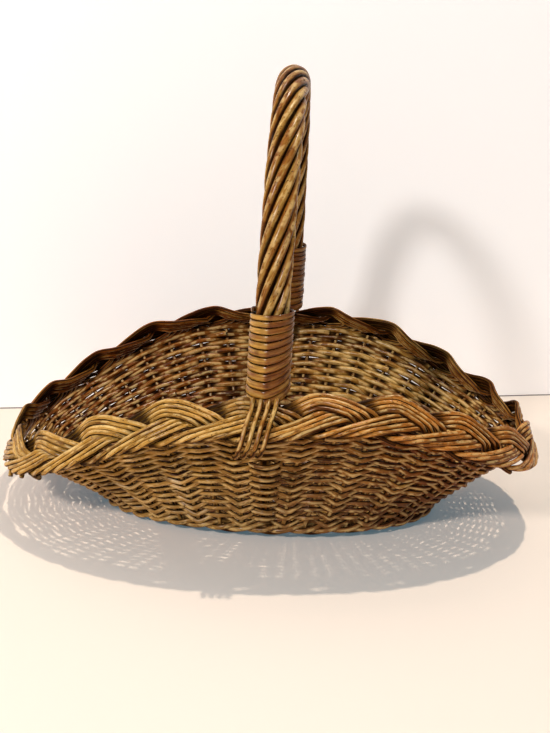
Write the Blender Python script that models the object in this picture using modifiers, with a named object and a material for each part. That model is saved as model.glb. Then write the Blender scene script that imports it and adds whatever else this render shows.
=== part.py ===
"""A willow foraging basket: an oval woven bowl, a plaited border and a roped bow handle.

The bowl's long axis lies along X and its short axis along Y, with Z up. The origin is on the
table, under the middle of the base. All sizes are in metres and all angles in degrees.
"""

import math

import bmesh
import bpy
import numpy as np

# Clearances
SEAT_GAP = 0.0003
TURN_GAP = 0.0005
BEND_ALLOWANCE = 1.2

# Border, measured to the middle of the plait
RIM_HALF_LENGTH = 0.222
RIM_HALF_WIDTH = 0.148
RIM_SIDE_HEIGHT = 0.131
LEFT_END_HEIGHT = 0.051
RIGHT_END_HEIGHT = 0.075
RIM_SWEEP = 3.3
RIM_OVAL_POWER = 0.85
FACE_TILT_AT_SIDES = 49.0
FACE_TILT_AT_ENDS = 20.0
LEG_DIP = 0.006
LEG_PUSH = 0.003
LEG_DIP_REACH = 0.050

# Plait of three strands
STRANDS = 3
WAVES = 7
STRAND_WIDTH = 0.0136
STRAND_THICKNESS = 0.0048
PLAIT_SWING = 0.0120
PLAIT_LIFT = 0.0044
PLAIT_ROLL = 12.0
FLAT_SHARE = 0.6
STEPS_A_WAVE = 12

# Wall
PLACES = 42
WALL_FLARE = 1.16
BANDS = 14
BAND_THICKNESS = 0.0028
BAND_GAP = 0.0012
BANDS_START = 0.085
STAKE_RADIUS = 0.0021
STAKE_STEPS = 4
WALE_RADIUS = 0.0030
WALE_RISE = 0.038
WALL_TOP_GAP = 0.0010

# Base, measured to the middle of the stakes where they turn up
BASE_HALF_LENGTH = 0.141
BASE_HALF_WIDTH = 0.082
BASE_OVAL_POWER = 0.95
BASE_THICKNESS = 0.013
LONG_STICKS = 3
LONG_STICK_RADIUS = 0.0026
LONG_STICK_SPLAY = 0.028
SHORT_STICKS = 5
SHORT_STICK_RADIUS = 0.0043
SHORT_STICK_SPACING = 0.034
STICK_INSET = 0.0006
VALLEY_HALF_THICKNESS = 0.0042
SPLAY_HALF_THICKNESS = 0.0054
EDGE_HALF_THICKNESS = 0.0048
OUTER_ROW_SHARE = 0.8
RIB_HALF_WIDTH = 0.003

# Handle
HANDLE_TOP = 0.3625
HANDLE_POWER = 0.86
HANDLE_OFFSET = 0.013
LEG_INSET = 0.0235
FOOT_CLEARANCE = 0.0027
CORE_RADIUS = 0.0060
LEG_TIP_RADIUS = 0.0026
LEG_TIP_RISE = 0.12
LEG_LEAVES_RISE = 0.66
LEG_BEND_RISE = 0.05
RODS = 8
ROD_BUTT_RADIUS = 0.0035
ROD_TIP_RADIUS = 0.0031
ROPE_TURNS = 2.5
ROPE_STEPS_A_TURN = 12
TAIL_RADIUS = 0.0021
TAIL_SPACING = 0.0058
TAIL_GAP = 0.0009
TAIL_SWEEP = 0.014

# Binding of flat skein round each foot of the handle
BINDING_START = 0.0032
BINDING_TURNS = 11
BINDING_STEPS = 13
STRIP_HEIGHT = 0.0042
STRIP_THICKNESS = 0.0022
RIDGE_HEIGHT = 0.0042
RIDGE_HALF_ANGLE = 62.0

FRONT_LEG = 31
BACK_LEG = 10
PLAIT_HALF_THICKNESS = PLAIT_LIFT + STRAND_THICKNESS / 2
STICK_HEIGHT = BASE_THICKNESS / 2
ROPE_RADIUS = (CORE_RADIUS + SEAT_GAP + ROD_BUTT_RADIUS) / math.cos(math.pi / ROPE_STEPS_A_TURN)
BINDING_BORE = (ROPE_RADIUS + ROD_BUTT_RADIUS + SEAT_GAP) / math.cos(math.pi / BINDING_STEPS)
BINDING_RADIUS = BINDING_BORE + STRIP_THICKNESS / 2
BINDING_PITCH = STRIP_HEIGHT + TURN_GAP * 1.5
BINDING_TOP = BINDING_START + BINDING_TURNS * BINDING_PITCH + STRIP_HEIGHT
BAND_EDGES = np.linspace(BANDS_START, 1.0, BANDS + 1)
OVAL_STEPS = 2880

GOLDEN = (0.46, 0.27, 0.09)
CHESTNUT = (0.30, 0.13, 0.045)
UMBER = (0.20, 0.11, 0.06)
OLIVE = (0.38, 0.25, 0.09)


def unit(vectors):
    return vectors / np.linalg.norm(vectors, axis=-1, keepdims=True)


def signed_power(values, power):
    return np.sign(values) * np.abs(values) ** power


def oval_outline(half_length, half_width, power):
    """Dense points round an oval from its +X end, with the length run at each."""
    angles = np.linspace(0.0, 2.0 * math.pi, OVAL_STEPS + 1)
    outline = np.stack(
        [
            half_length * signed_power(np.cos(angles), power),
            half_width * signed_power(np.sin(angles), power),
        ],
        axis=1,
    )
    steps = np.linalg.norm(np.diff(outline, axis=0), axis=1)
    return outline, np.concatenate([[0.0], np.cumsum(steps)])


RIM_OVAL = oval_outline(RIM_HALF_LENGTH, RIM_HALF_WIDTH, RIM_OVAL_POWER)
BASE_OVAL = oval_outline(BASE_HALF_LENGTH, BASE_HALF_WIDTH, BASE_OVAL_POWER)
RIM_LENGTH = RIM_OVAL[1][-1]


def on_oval(oval, shares):
    """Plan points at shares of the oval's length, counted anticlockwise from its +X end."""
    outline, run = oval
    along = (np.asarray(shares, float) % 1.0) * run[-1]
    return np.stack([np.interp(along, run, outline[:, axis]) for axis in (0, 1)], axis=-1)


def place_share(place):
    """Share of the rim's length at a stake's place. The two legs stand at places of their own."""
    return (np.asarray(place, float) + 0.5) / PLACES - HANDLE_OFFSET / RIM_LENGTH


def nearness_to_legs(shares):
    """1 at each leg of the handle, falling to nothing on both sides of it."""
    near = np.zeros(np.shape(shares))
    for leg in (FRONT_LEG, BACK_LEG):
        apart = (np.asarray(shares, float) - place_share(leg) + 0.5) % 1.0 - 0.5
        near = near + np.exp(-((apart * RIM_LENGTH / LEG_DIP_REACH) ** 2))
    return near


def rim(shares):
    """Middle line of the plait: low at the two ends, high at the handle, pressed down by it."""
    near = nearness_to_legs(shares)
    step = 2.0 / OVAL_STEPS
    run = unit(on_oval(RIM_OVAL, shares + step) - on_oval(RIM_OVAL, shares - step))
    outward = np.stack([run[..., 1], -run[..., 0]], axis=-1)
    plan = on_oval(RIM_OVAL, shares)
    end_height = (LEFT_END_HEIGHT + RIGHT_END_HEIGHT) / 2
    sideways = np.abs(plan[..., 1] / RIM_HALF_WIDTH) ** RIM_SWEEP
    lean = (RIGHT_END_HEIGHT - LEFT_END_HEIGHT) / 2 * plan[..., 0] / RIM_HALF_LENGTH
    plan = plan + LEG_PUSH * near[..., None] * outward
    height = end_height + (RIM_SIDE_HEIGHT - end_height) * sideways + lean
    height = height - LEG_DIP * near
    return np.concatenate([plan, height[..., None]], axis=-1)


def rim_frames(shares):
    """Middle line of the plait with its run, its face's normal and its cross direction.

    The cross direction lies in the face and points up towards the bowl.
    """
    shares = np.asarray(shares, float)
    step = 0.5 / OVAL_STEPS * 4
    middle = rim(shares)
    run = unit(rim(shares + step) - rim(shares - step))
    outward = unit(np.stack([run[..., 1], -run[..., 0], 0 * run[..., 0]], axis=-1))
    sideways = (middle[..., 1] / RIM_HALF_WIDTH) ** 2
    tilt = np.radians(FACE_TILT_AT_ENDS + (FACE_TILT_AT_SIDES - FACE_TILT_AT_ENDS) * sideways)
    face = np.cos(tilt)[..., None] * outward + np.sin(tilt)[..., None] * np.array([0, 0, 1.0])
    face = unit(face - np.sum(face * run, axis=-1, keepdims=True) * run)
    return middle, run, face, np.cross(face, run)


def wall(shares, rises):
    """Middle surface of the wall, from rise 0 at the base to rise 1 under the plait."""
    shares, rises = np.broadcast_arrays(np.asarray(shares, float), np.asarray(rises, float))
    middle, _, face, _ = rim_frames(shares)
    top = middle - face * (PLAIT_HALF_THICKNESS + WALL_TOP_GAP)
    foot = np.concatenate(
        [on_oval(BASE_OVAL, shares), np.full(shares.shape + (1,), STICK_HEIGHT)], axis=-1
    )
    spread = np.stack([rises**WALL_FLARE, rises**WALL_FLARE, rises], axis=-1)
    return foot + (top - foot) * spread


def wall_normals(shares, rises):
    """Outward normals of the wall's middle surface."""
    shares, rises = np.asarray(shares, float), np.asarray(rises, float)
    step = 1.0 / OVAL_STEPS * 2
    along = wall(shares + step, rises) - wall(shares - step, rises)
    up = wall(shares, rises + step) - wall(shares, rises - step * (rises > step))
    return unit(np.cross(along, up))


def willow(name, colour, roughness):
    """A varnished rod's plain material."""
    material = bpy.data.materials.new(name)
    material.use_nodes = True
    shader = material.node_tree.nodes["Principled BSDF"]
    shader.inputs["Base Color"].default_value = (*colour, 1.0)
    shader.inputs["Roughness"].default_value = roughness
    shader.inputs["Metallic"].default_value = 0.0
    return material


def tube(name, points, radius, material, closed=False, radii=None, level=1):
    """A rod along points, with 2 x (level + 2) sides."""
    curve = bpy.data.curves.new(name, "CURVE")
    curve.dimensions = "3D"
    curve.bevel_depth = radius
    curve.bevel_resolution = level
    curve.use_fill_caps = True
    spline = curve.splines.new("POLY")
    spline.points.add(len(points) - 1)
    for index, point in enumerate(points):
        spline.points[index].co = (*point, 1.0)
        if radii is not None:
            spline.points[index].radius = radii[index] / radius
    spline.use_cyclic_u = closed
    obj = bpy.data.objects.new(name, curve)
    PIECES.objects.link(obj)
    curve.materials.append(material)
    return obj


def flat_strip(name, points, profile, normals, material, closed):
    """A strip with the given profile along points, its thin way along the normals."""
    obj = tube(name, points, 1.0, material, closed)
    curve = obj.data
    curve.bevel_mode = "OBJECT"
    curve.bevel_object = profile
    curve.twist_mode = "Z_UP"
    points = np.asarray(points)
    if closed:
        run = unit(np.roll(points, -1, axis=0) - np.roll(points, 1, axis=0))
    else:
        run = unit(np.gradient(points, axis=0))
    up = np.array([0, 0, 1.0])
    upright = unit(up - np.sum(up * run, axis=1, keepdims=True) * run)
    side = np.cross(run, upright)
    across = np.sum(normals * side, axis=1)
    above = np.sum(normals * upright, axis=1)
    for index, turn in enumerate(np.arctan2(above, across)):
        curve.splines[0].points[index].tilt = -turn
    return obj


def strip_profile(name, outline):
    """Outline of a flat strip's section, thin along its X, taken clockwise."""
    curve = bpy.data.curves.new(name, "CURVE")
    curve.dimensions = "2D"
    spline = curve.splines.new("POLY")
    spline.points.add(len(outline) - 1)
    for index, (x, y) in enumerate(outline):
        spline.points[index].co = (x, y, 0.0, 1.0)
    spline.use_cyclic_u = True
    obj = bpy.data.objects.new(name, curve)
    GUIDES.objects.link(obj)
    hide(obj)
    return obj


def hide(obj):
    obj.hide_render = True
    obj.display_type = "WIRE"


def as_mesh(obj, collection):
    """The object's evaluated shape as a welded mesh in its place."""
    bpy.context.view_layer.update()
    evaluated = obj.evaluated_get(bpy.context.evaluated_depsgraph_get())
    mesh = bpy.data.meshes.new_from_object(evaluated)
    name, matrix = obj.name, obj.matrix_world.copy()
    bpy.data.objects.remove(obj)
    weld(mesh)
    solid = bpy.data.objects.new(name, mesh)
    solid.matrix_world = matrix
    collection.objects.link(solid)
    return solid


def weld(mesh):
    shape = bmesh.new()
    shape.from_mesh(mesh)
    bmesh.ops.remove_doubles(shape, verts=shape.verts, dist=0.00001)
    bmesh.ops.recalc_face_normals(shape, faces=shape.faces)
    shape.to_mesh(mesh)
    shape.free()


def cut(obj, cutter):
    """Takes the cutter's shape out of the object."""
    modifier = obj.modifiers.new("cut_" + cutter.name, "BOOLEAN")
    modifier.operation = "DIFFERENCE"
    modifier.object = cutter
    hide(cutter)


def cutter_tube(name, points, radius):
    obj = tube(name, points, radius, WILLOW_BASE)
    PIECES.objects.unlink(obj)
    GUIDES.objects.link(obj)
    return as_mesh(obj, GUIDES)


def base_outline():
    """Corners of the base weave, one at each place, just inside the stakes."""
    shares = place_share(np.arange(PLACES))
    step = 1.0 / OVAL_STEPS
    run = unit(on_oval(BASE_OVAL, shares + step) - on_oval(BASE_OVAL, shares - step))
    outward = np.stack([run[:, 1], -run[:, 0]], axis=1)
    return on_oval(BASE_OVAL, shares) - outward * (STAKE_RADIUS + SEAT_GAP)


def base_reach(axis, other, radius):
    """How far a stick reaches along one axis inside the base weave, at the other coordinate."""
    outline = base_outline()
    reaches = []
    for sign in (1.0, -1.0):
        side = outline[outline[:, axis] * sign > 0]
        order = np.argsort(side[:, 1 - axis])
        side = side[order]
        for edge in (other - radius, other + radius):
            reaches.append(np.interp(edge, side[:, 1 - axis], side[:, axis] * sign))
    return min(reaches)


def build_base():
    """Long sticks threaded through slots in the short ones, held in an oval of weave."""
    long_pitch = 2 * LONG_STICK_RADIUS + TURN_GAP
    slot_half_width = (LONG_STICKS - 1) / 2 * long_pitch + LONG_STICK_RADIUS + SEAT_GAP
    slot_height = 2 * (LONG_STICK_RADIUS + SEAT_GAP)
    last_short = (SHORT_STICKS - 1) / 2 * SHORT_STICK_SPACING
    outline = base_outline()
    runs = []
    for index in range(LONG_STICKS):
        rank = index - (LONG_STICKS - 1) / 2
        end_y = rank * LONG_STICK_SPLAY
        reach = base_reach(0, end_y, LONG_STICK_RADIUS) - STICK_INSET
        straight = last_short + 2 * SHORT_STICK_RADIUS
        plan = [(-reach, end_y), (-straight, rank * long_pitch)]
        plan += [(straight, rank * long_pitch), (reach, end_y)]
        runs.append(("long_base_stick_%d" % (index + 1), plan, LONG_STICK_RADIUS))
    for index in range(SHORT_STICKS):
        x = (index - (SHORT_STICKS - 1) / 2) * SHORT_STICK_SPACING
        reach = base_reach(1, x, SHORT_STICK_RADIUS) - STICK_INSET
        runs.append(("short_base_stick_%d" % (index + 1), [(x, -reach), (x, reach)], SHORT_STICK_RADIUS))
    weave = base_disc(outline, long_pitch, last_short + 2 * SHORT_STICK_RADIUS)
    for name, plan, radius in runs:
        points = np.array([(x, y, STICK_HEIGHT) for x, y in plan])
        stick = tube(name, points, radius, WILLOW_BASE)
        if name.startswith("short"):
            stick = as_mesh(stick, PIECES)
            size = (4 * SHORT_STICK_RADIUS, 2 * slot_half_width, slot_height)
            cut(stick, box("slot_in_" + name, (plan[0][0], 0.0, STICK_HEIGHT), size))
        ends = points.copy()
        ends[0] += unit(points[0] - points[1]) * 4 * SHORT_STICK_RADIUS
        ends[-1] += unit(points[-1] - points[-2]) * 4 * SHORT_STICK_RADIUS
        cut(weave, cutter_tube("tunnel_for_" + name, ends, radius + SEAT_GAP))


def box(name, centre, size):
    bpy.ops.mesh.primitive_cube_add(size=1.0, location=centre)
    obj = bpy.context.active_object
    obj.name = name
    for vertex in obj.data.vertices:
        vertex.co = [value * side for value, side in zip(vertex.co, size)]
    for collection in list(obj.users_collection):
        collection.objects.unlink(obj)
    GUIDES.objects.link(obj)
    return obj


def base_columns(outline):
    """Where the base is measured along X, with the half thickness of its weave there.

    Each short stick has a flat rib over it, and the weave is thin between two and past the last.
    """
    half = SHORT_STICK_SPACING / 2
    left, right = outline[:, 0].min() + STICK_INSET, outline[:, 0].max() - STICK_INSET
    count = int((min(-left, right) - half / 2) / half)
    columns = [(left, VALLEY_HALF_THICKNESS)]
    for index in range(-count, count + 1):
        if (index + SHORT_STICKS) % 2 == 1 and abs(index) < SHORT_STICKS:
            columns.append((index * half - RIB_HALF_WIDTH, BASE_THICKNESS / 2))
            columns.append((index * half + RIB_HALF_WIDTH, BASE_THICKNESS / 2))
        else:
            columns.append((index * half, VALLEY_HALF_THICKNESS))
    return columns + [(right, VALLEY_HALF_THICKNESS)]


def base_widths(outline, x):
    """Y of the base's two edges at x, where the line at x crosses the outline's sides."""
    ends = np.roll(outline, -1, axis=0)
    crossed = (outline[:, 0] - x) * (ends[:, 0] - x) < 0
    start, end = outline[crossed], ends[crossed]
    share = (x - start[:, 0]) / (end[:, 0] - start[:, 0])
    levels = start[:, 1] + share * (end[:, 1] - start[:, 1])
    return levels.min(), levels.max()


def base_rows(outline, x, thickness, long_pitch, straight):
    """Y of the edges, the long sticks and the valleys between these, and the half thickness there."""
    low, high = base_widths(outline, x)
    reach = np.abs(outline[:, 0]).max()
    splayed = np.clip((abs(x) - straight) / (reach - straight), 0.0, 1.0)
    stick = long_pitch + (LONG_STICK_SPLAY - long_pitch) * splayed
    stick = min(stick, OUTER_ROW_SHARE * high, -OUTER_ROW_SHARE * low)
    rows = [low, -stick, -stick / 2, 0.0, stick / 2, stick, high]
    if abs(x) <= straight:
        return rows, [thickness] * len(rows)
    ribs, edges = SPLAY_HALF_THICKNESS, EDGE_HALF_THICKNESS
    return rows, [edges, ribs, thickness, ribs, thickness, ribs, edges]


def base_disc(outline, long_pitch, straight):
    """The base's weave: raised over each stick and thin between two."""
    shape = bmesh.new()
    top = []
    for x, thickness in base_columns(outline):
        rows, heights = base_rows(outline, x, thickness, long_pitch, straight)
        top.append([shape.verts.new((x, y, height)) for y, height in zip(rows, heights)])
    for here, onward in zip(top[:-1], top[1:]):
        for row in range(len(here) - 1):
            shape.faces.new((here[row], onward[row], onward[row + 1], here[row + 1]))
    rim_edges = [edge for edge in shape.edges if edge.is_boundary]
    skirt = bmesh.ops.extrude_edge_only(shape, edges=rim_edges)["geom"]
    for vertex in [item for item in skirt if isinstance(item, bmesh.types.BMVert)]:
        vertex.co.z = 0.0
    mesh = bpy.data.meshes.new("base_weave")
    shape.to_mesh(mesh)
    shape.free()
    mesh.materials.append(WILLOW_BASE)
    obj = bpy.data.objects.new("base_weave", mesh)
    obj.location.z = STICK_HEIGHT
    PIECES.objects.link(obj)
    mirror = obj.modifiers.new("underside", "MIRROR")
    mirror.use_axis = (False, False, True)
    return as_mesh(obj, PIECES)


def build_stakes():
    """Each pair is one bent rod: up the wall at one place and down at the next."""
    rises = np.linspace(math.sqrt(BANDS_START), 1.0, STAKE_STEPS + 1) ** 2
    rises = np.concatenate([[0.0], rises])
    number = 0
    for leg in (BACK_LEG, FRONT_LEG):
        for first in range(leg + 1, leg + PLACES // 2, 2):
            number += 1
            down = wall(place_share(first), rises[::-1])
            up = wall(place_share(first + 1), rises)
            points = np.concatenate([down, up])
            tube("stake_pair_%02d" % number, points, STAKE_RADIUS, WILLOW_WALL)


def build_wale():
    """The thick round that holds the stakes up against the base."""
    shares = place_share(np.arange(PLACES))
    outward = wall_normals(shares, np.full(PLACES, WALE_RISE))
    reach = STAKE_RADIUS + SEAT_GAP * BEND_ALLOWANCE + WALE_RADIUS
    centre = wall(shares, WALE_RISE) + outward * reach
    tube("upsett_wale", centre, WALE_RADIUS, WILLOW_WALL, closed=True)


def leg_radius(rises):
    share = (np.asarray(rises) - LEG_TIP_RISE) / (1.0 - LEG_TIP_RISE)
    return LEG_TIP_RADIUS + (CORE_RADIUS - LEG_TIP_RADIUS) * np.clip(share, 0.0, 1.0)


def build_bands():
    """Rows of siding, two rods high, that pass outside one stake and inside the next."""
    shares = place_share(np.arange(PLACES))
    swing = (STAKE_RADIUS + SEAT_GAP + BAND_THICKNESS / 2) * BEND_ALLOWANCE
    length = np.linalg.norm(wall(shares, 1.0) - wall(shares, 0.0), axis=1)
    for band in range(BANDS):
        low, high = BAND_EDGES[band], BAND_EDGES[band + 1]
        signs = np.where((np.arange(PLACES) + band) % 2 == 0, 1.0, -1.0)
        offsets = signs * swing
        for leg in (BACK_LEG, FRONT_LEG):
            beside = high <= LEG_LEAVES_RISE + LEG_BEND_RISE
            core = leg_radius(high if beside else low)
            reach = (core + SEAT_GAP + BAND_THICKNESS / 2) * BEND_ALLOWANCE
            offsets[leg] = signs[leg] * reach if beside else reach
        edges = []
        for rise, way in ((low, 1.0), (high, -1.0)):
            edge = rise + way * BAND_GAP / 2 / length
            if rise == 1.0:
                edge = edge - WALL_TOP_GAP / length
            edges.append(wall(shares, edge) + wall_normals(shares, edge) * offsets[:, None])
        ribbon("siding_band_%d" % (band + 1), edges, BAND_THICKNESS, WILLOW_WALL)


def ribbon(name, edges, thickness, material):
    """A closed strip between two rings of points, thickened to both sides."""
    count = len(edges[0])
    corners = [tuple(point) for edge in edges for point in edge]
    faces = []
    for index in range(count):
        following = (index + 1) % count
        faces.append((index, following, following + count, index + count))
    mesh = bpy.data.meshes.new(name)
    mesh.from_pydata(corners, [], faces)
    mesh.materials.append(material)
    obj = bpy.data.objects.new(name, mesh)
    PIECES.objects.link(obj)
    solidify = obj.modifiers.new("thickness", "SOLIDIFY")
    solidify.thickness = thickness
    solidify.offset = 0.0
    solidify.use_even_offset = True
    return obj


def build_plait():
    """Three strands that cross in turn, each over the next."""
    thick, wide = STRAND_THICKNESS / 2, STRAND_WIDTH / 2
    edge = (0.0, wide), (thick, wide * FLAT_SHARE), (thick, -wide * FLAT_SHARE)
    profile = strip_profile("strand_profile", edge + tuple((-x, -y) for x, y in edge))
    steps = WAVES * STEPS_A_WAVE
    shares = np.arange(steps) / steps
    middle, _, face, across = rim_frames(shares)
    start = 30.0 - 360.0 * WAVES * place_share(FRONT_LEG)
    for strand in range(STRANDS):
        phase = np.radians(start + 360.0 * (WAVES * shares + strand / STRANDS))
        sideways = PLAIT_SWING * np.sin(phase)
        lift = -PLAIT_LIFT * np.sin(2 * phase)
        points = middle + across * sideways[:, None] + face * lift[:, None]
        late = phase - math.pi / 4
        roll = (math.radians(PLAIT_ROLL) * (np.cos(late) - np.cos(3 * late)))[:, None]
        upper = face * np.cos(roll) + across * np.sin(roll)
        flat_strip("plait_strand_%d" % (strand + 1), points, profile, upper, WILLOW_PLAIT, True)


def leg_foot(leg):
    """Where the handle rises past the plait's inner edge, and its rim frame."""
    middle, run, face, across = rim_frames(place_share(leg))
    inward = unit(np.array([-run[1], run[0], 0.0]))
    foot = middle + inward * LEG_INSET
    foot[2] = middle[2] + across[2] * (PLAIT_SWING + STRAND_WIDTH / 2) + FOOT_CLEARANCE
    return foot


def arch_points(turns_of_arch):
    """Middle line of the handle from foot to foot, at shares of half a turn."""
    front, back = leg_foot(FRONT_LEG), leg_foot(BACK_LEG)
    angles = np.asarray(turns_of_arch, float) * math.pi
    outward = signed_power(np.cos(angles), HANDLE_POWER)[:, None]
    upward = signed_power(np.sin(angles), HANDLE_POWER)[:, None]
    middle = (front + back) / 2
    return middle + outward * (front - back) / 2 + upward * np.array([0, 0, HANDLE_TOP - middle[2]])


def arch_run():
    """The handle's middle line as dense points with the length run at each."""
    line = arch_points(np.linspace(0.0, 1.0, OVAL_STEPS + 1))
    run = np.concatenate([[0.0], np.cumsum(np.linalg.norm(np.diff(line, axis=0), axis=1))])
    return line, run


def arch_frames(lengths):
    """Points on the handle's middle line at lengths from the front foot, with their frames.

    The first cross direction is level and the second points in towards the bowl.
    """
    line, run = ARCH
    lengths = np.asarray(lengths, float)
    step = 0.0005

    def at(values):
        inside = np.stack([np.interp(values, run, line[:, axis]) for axis in range(3)], axis=-1)
        below = np.minimum(values, 0.0) + np.maximum(values - run[-1], 0.0) * -1.0
        inside[..., 2] += below
        return inside

    middle = at(lengths)
    along = unit(at(lengths + step) - at(lengths - step))
    level = unit(np.cross(line[0] - line[-1], np.array([0, 0, 1.0])))
    level = np.broadcast_to(level * -1.0 if level[0] < 0 else level, along.shape)
    return middle, along, level, np.cross(along, level)


def build_core():
    """The bow: pointed legs down inside the wall, and the arch between them."""
    rises = np.linspace(LEG_TIP_RISE, LEG_LEAVES_RISE, 5)
    arch = arch_points(np.linspace(0.0, 1.0, 33))
    front = wall(np.full(rises.shape, place_share(FRONT_LEG)), rises)
    back = wall(np.full(rises.shape, place_share(BACK_LEG)), rises)
    front_bend = (front[-1] * 0.45 + arch[0] * 0.55)[None] + (front[-1] - front[-2]) * 0.25
    back_bend = (back[-1] * 0.45 + arch[-1] * 0.55)[None] + (back[-1] - back[-2]) * 0.25
    points = np.concatenate([front, front_bend, arch, back_bend, back[::-1]])
    tapers = np.concatenate([leg_radius(rises), leg_radius([0.9])])
    radii = np.concatenate([tapers, np.full(len(arch), CORE_RADIUS), tapers[::-1]])
    tube("bow_core", points, CORE_RADIUS, WILLOW_HANDLE, radii=radii)


def tail_points(leg, rank):
    """A rod's thin end over the plait and down into the weave, in the rim's own frame."""
    middle, run, face, across = rim_frames(place_share(leg))
    edge = PLAIT_SWING + STRAND_WIDTH / 2 + SEAT_GAP
    over = PLAIT_HALF_THICKNESS + TAIL_GAP + TAIL_RADIUS
    side = (rank - 1.5) * TAIL_SPACING
    route = (
        (0.0, edge + TAIL_GAP, 0.43 * over),
        (0.08, 0.70 * edge, 0.92 * over),
        (0.20, 0.25 * edge, 1.06 * over),
        (0.50, -0.40 * edge, 1.04 * over),
        (0.80, -edge - TAIL_RADIUS, 0.50 * over),
        (0.95, -edge - 2.4 * TAIL_RADIUS, -0.2 * over),
        (1.05, -edge - 0.5 * TAIL_RADIUS, -over),
        (1.15, -edge * 0.62, -1.35 * over),
    )
    return np.array(
        [
            middle + run * (side - TAIL_SWEEP * sweep) + across * sideways + face * lift
            for sweep, sideways, lift in route
        ]
    )


def build_rods():
    """Eight rods laid round the core, four with thin ends tucked in at each foot."""
    total = ARCH[1][-1]
    bound = BINDING_TOP
    below = np.linspace(BINDING_START, bound, 5)[:-1]
    spacing = 360.0 / RODS
    for index in range(RODS):
        start_angle = -90.0 + (index - 1.5) * spacing
        tail_at_front = index < RODS // 2
        lengths = np.concatenate(
            [
                below,
                np.linspace(bound, total - bound, int(ROPE_TURNS * ROPE_STEPS_A_TURN) + 1),
                total - below[::-1],
            ]
        )
        twist = np.clip((lengths - bound) / (total - 2 * bound), 0.0, 1.0) * 360.0 * ROPE_TURNS
        angles = np.radians(start_angle + twist)[:, None]
        middle, _, level, inward = arch_frames(lengths)
        points = middle + ROPE_RADIUS * (np.cos(angles) * level + np.sin(angles) * inward)
        share = lengths / total if not tail_at_front else 1.0 - lengths / total
        radii = ROD_BUTT_RADIUS + (ROD_TIP_RADIUS - ROD_BUTT_RADIUS) * share
        radii[0 if tail_at_front else -1] = TAIL_RADIUS * 1.1
        if tail_at_front:
            tail = tail_points(FRONT_LEG, index)
            points = np.concatenate([tail[::-1], points])
            radii = np.concatenate([np.linspace(0.85, 1.0, len(tail)) * TAIL_RADIUS, radii])
        else:
            tail = tail_points(BACK_LEG, RODS - 1 - index)
            points = np.concatenate([points, tail])
            radii = np.concatenate([radii, np.linspace(1.0, 0.85, len(tail)) * TAIL_RADIUS])
        tube("roping_rod_%d" % (index + 1), points, ROD_BUTT_RADIUS, WILLOW_HANDLE, radii=radii)


def binding_line(front):
    """Middle line of a binding's strip, wound upwards, with straight ends one strip high."""
    total = ARCH[1][-1]
    turns = np.linspace(0.0, BINDING_TURNS, BINDING_TURNS * BINDING_STEPS + 1)
    heights = BINDING_START + STRIP_HEIGHT / 2 + turns * BINDING_PITCH
    lengths = heights if front else total - heights
    middle, along, level, inward = arch_frames(lengths)
    angles = 180.0 + turns * 360.0
    off_ridge = np.abs((angles + 90.0 + 180.0) % 360.0 - 180.0)
    fade = 1.0 - turns / BINDING_TURNS
    ridge = RIDGE_HEIGHT * fade * np.clip(1.0 - off_ridge / RIDGE_HALF_ANGLE, 0.0, 1.0)
    radius = (BINDING_RADIUS + ridge)[:, None]
    angles = np.radians(angles)[:, None]
    outward = np.cos(angles) * level + np.sin(angles) * inward
    points = middle + radius * outward
    start = points[0] - unit(points[1] - points[0]) * STRIP_HEIGHT
    end = points[-1] + unit(points[-1] - points[-2]) * STRIP_HEIGHT
    points = np.concatenate([start[None], points, end[None]])
    normals = np.concatenate([outward[:1], outward, outward[-1:]])
    return points, normals


def least_gap(points):
    """Least gap between turns of a binding, measured between points of its middle line."""
    apart = BINDING_STEPS // 2
    least = math.inf
    for index in range(len(points) - apart):
        later = points[index + apart :]
        least = min(least, np.linalg.norm(later - points[index], axis=1).min())
    return least - STRIP_HEIGHT


def build_bindings():
    thick, wide = STRIP_THICKNESS / 2, STRIP_HEIGHT / 2
    corners = (thick, wide), (thick, -wide), (-thick, -wide), (-thick, wide)
    profile = strip_profile("skein_profile", corners)
    for name, front in (("front_binding", True), ("back_binding", False)):
        points, normals = binding_line(front)
        flat_strip(name, points, profile, normals, WILLOW_SKEIN, False)
        print(name, "least gap between turns: %.2f mm" % (least_gap(points) * 1000))


for old in list(bpy.data.objects):
    bpy.data.objects.remove(old)
PIECES = bpy.data.collections.new("foraging_basket")
GUIDES = bpy.data.collections.new("cutters_and_guides")
for group in (PIECES, GUIDES):
    bpy.context.scene.collection.children.link(group)
WILLOW_BASE = willow("base_willow", UMBER, 0.6)
WILLOW_WALL = willow("wall_willow", CHESTNUT, 0.5)
WILLOW_PLAIT = willow("plait_willow", GOLDEN, 0.42)
WILLOW_HANDLE = willow("handle_willow", OLIVE, 0.4)
WILLOW_SKEIN = willow("skein_willow", GOLDEN, 0.32)
ARCH = arch_run()

build_base()
build_stakes()
build_wale()
build_bands()
build_plait()
build_core()
build_rods()
build_bindings()
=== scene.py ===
"""The dressed foraging basket: every willow rod of the bowl, border and handle, and its finish."""

import math

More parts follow.
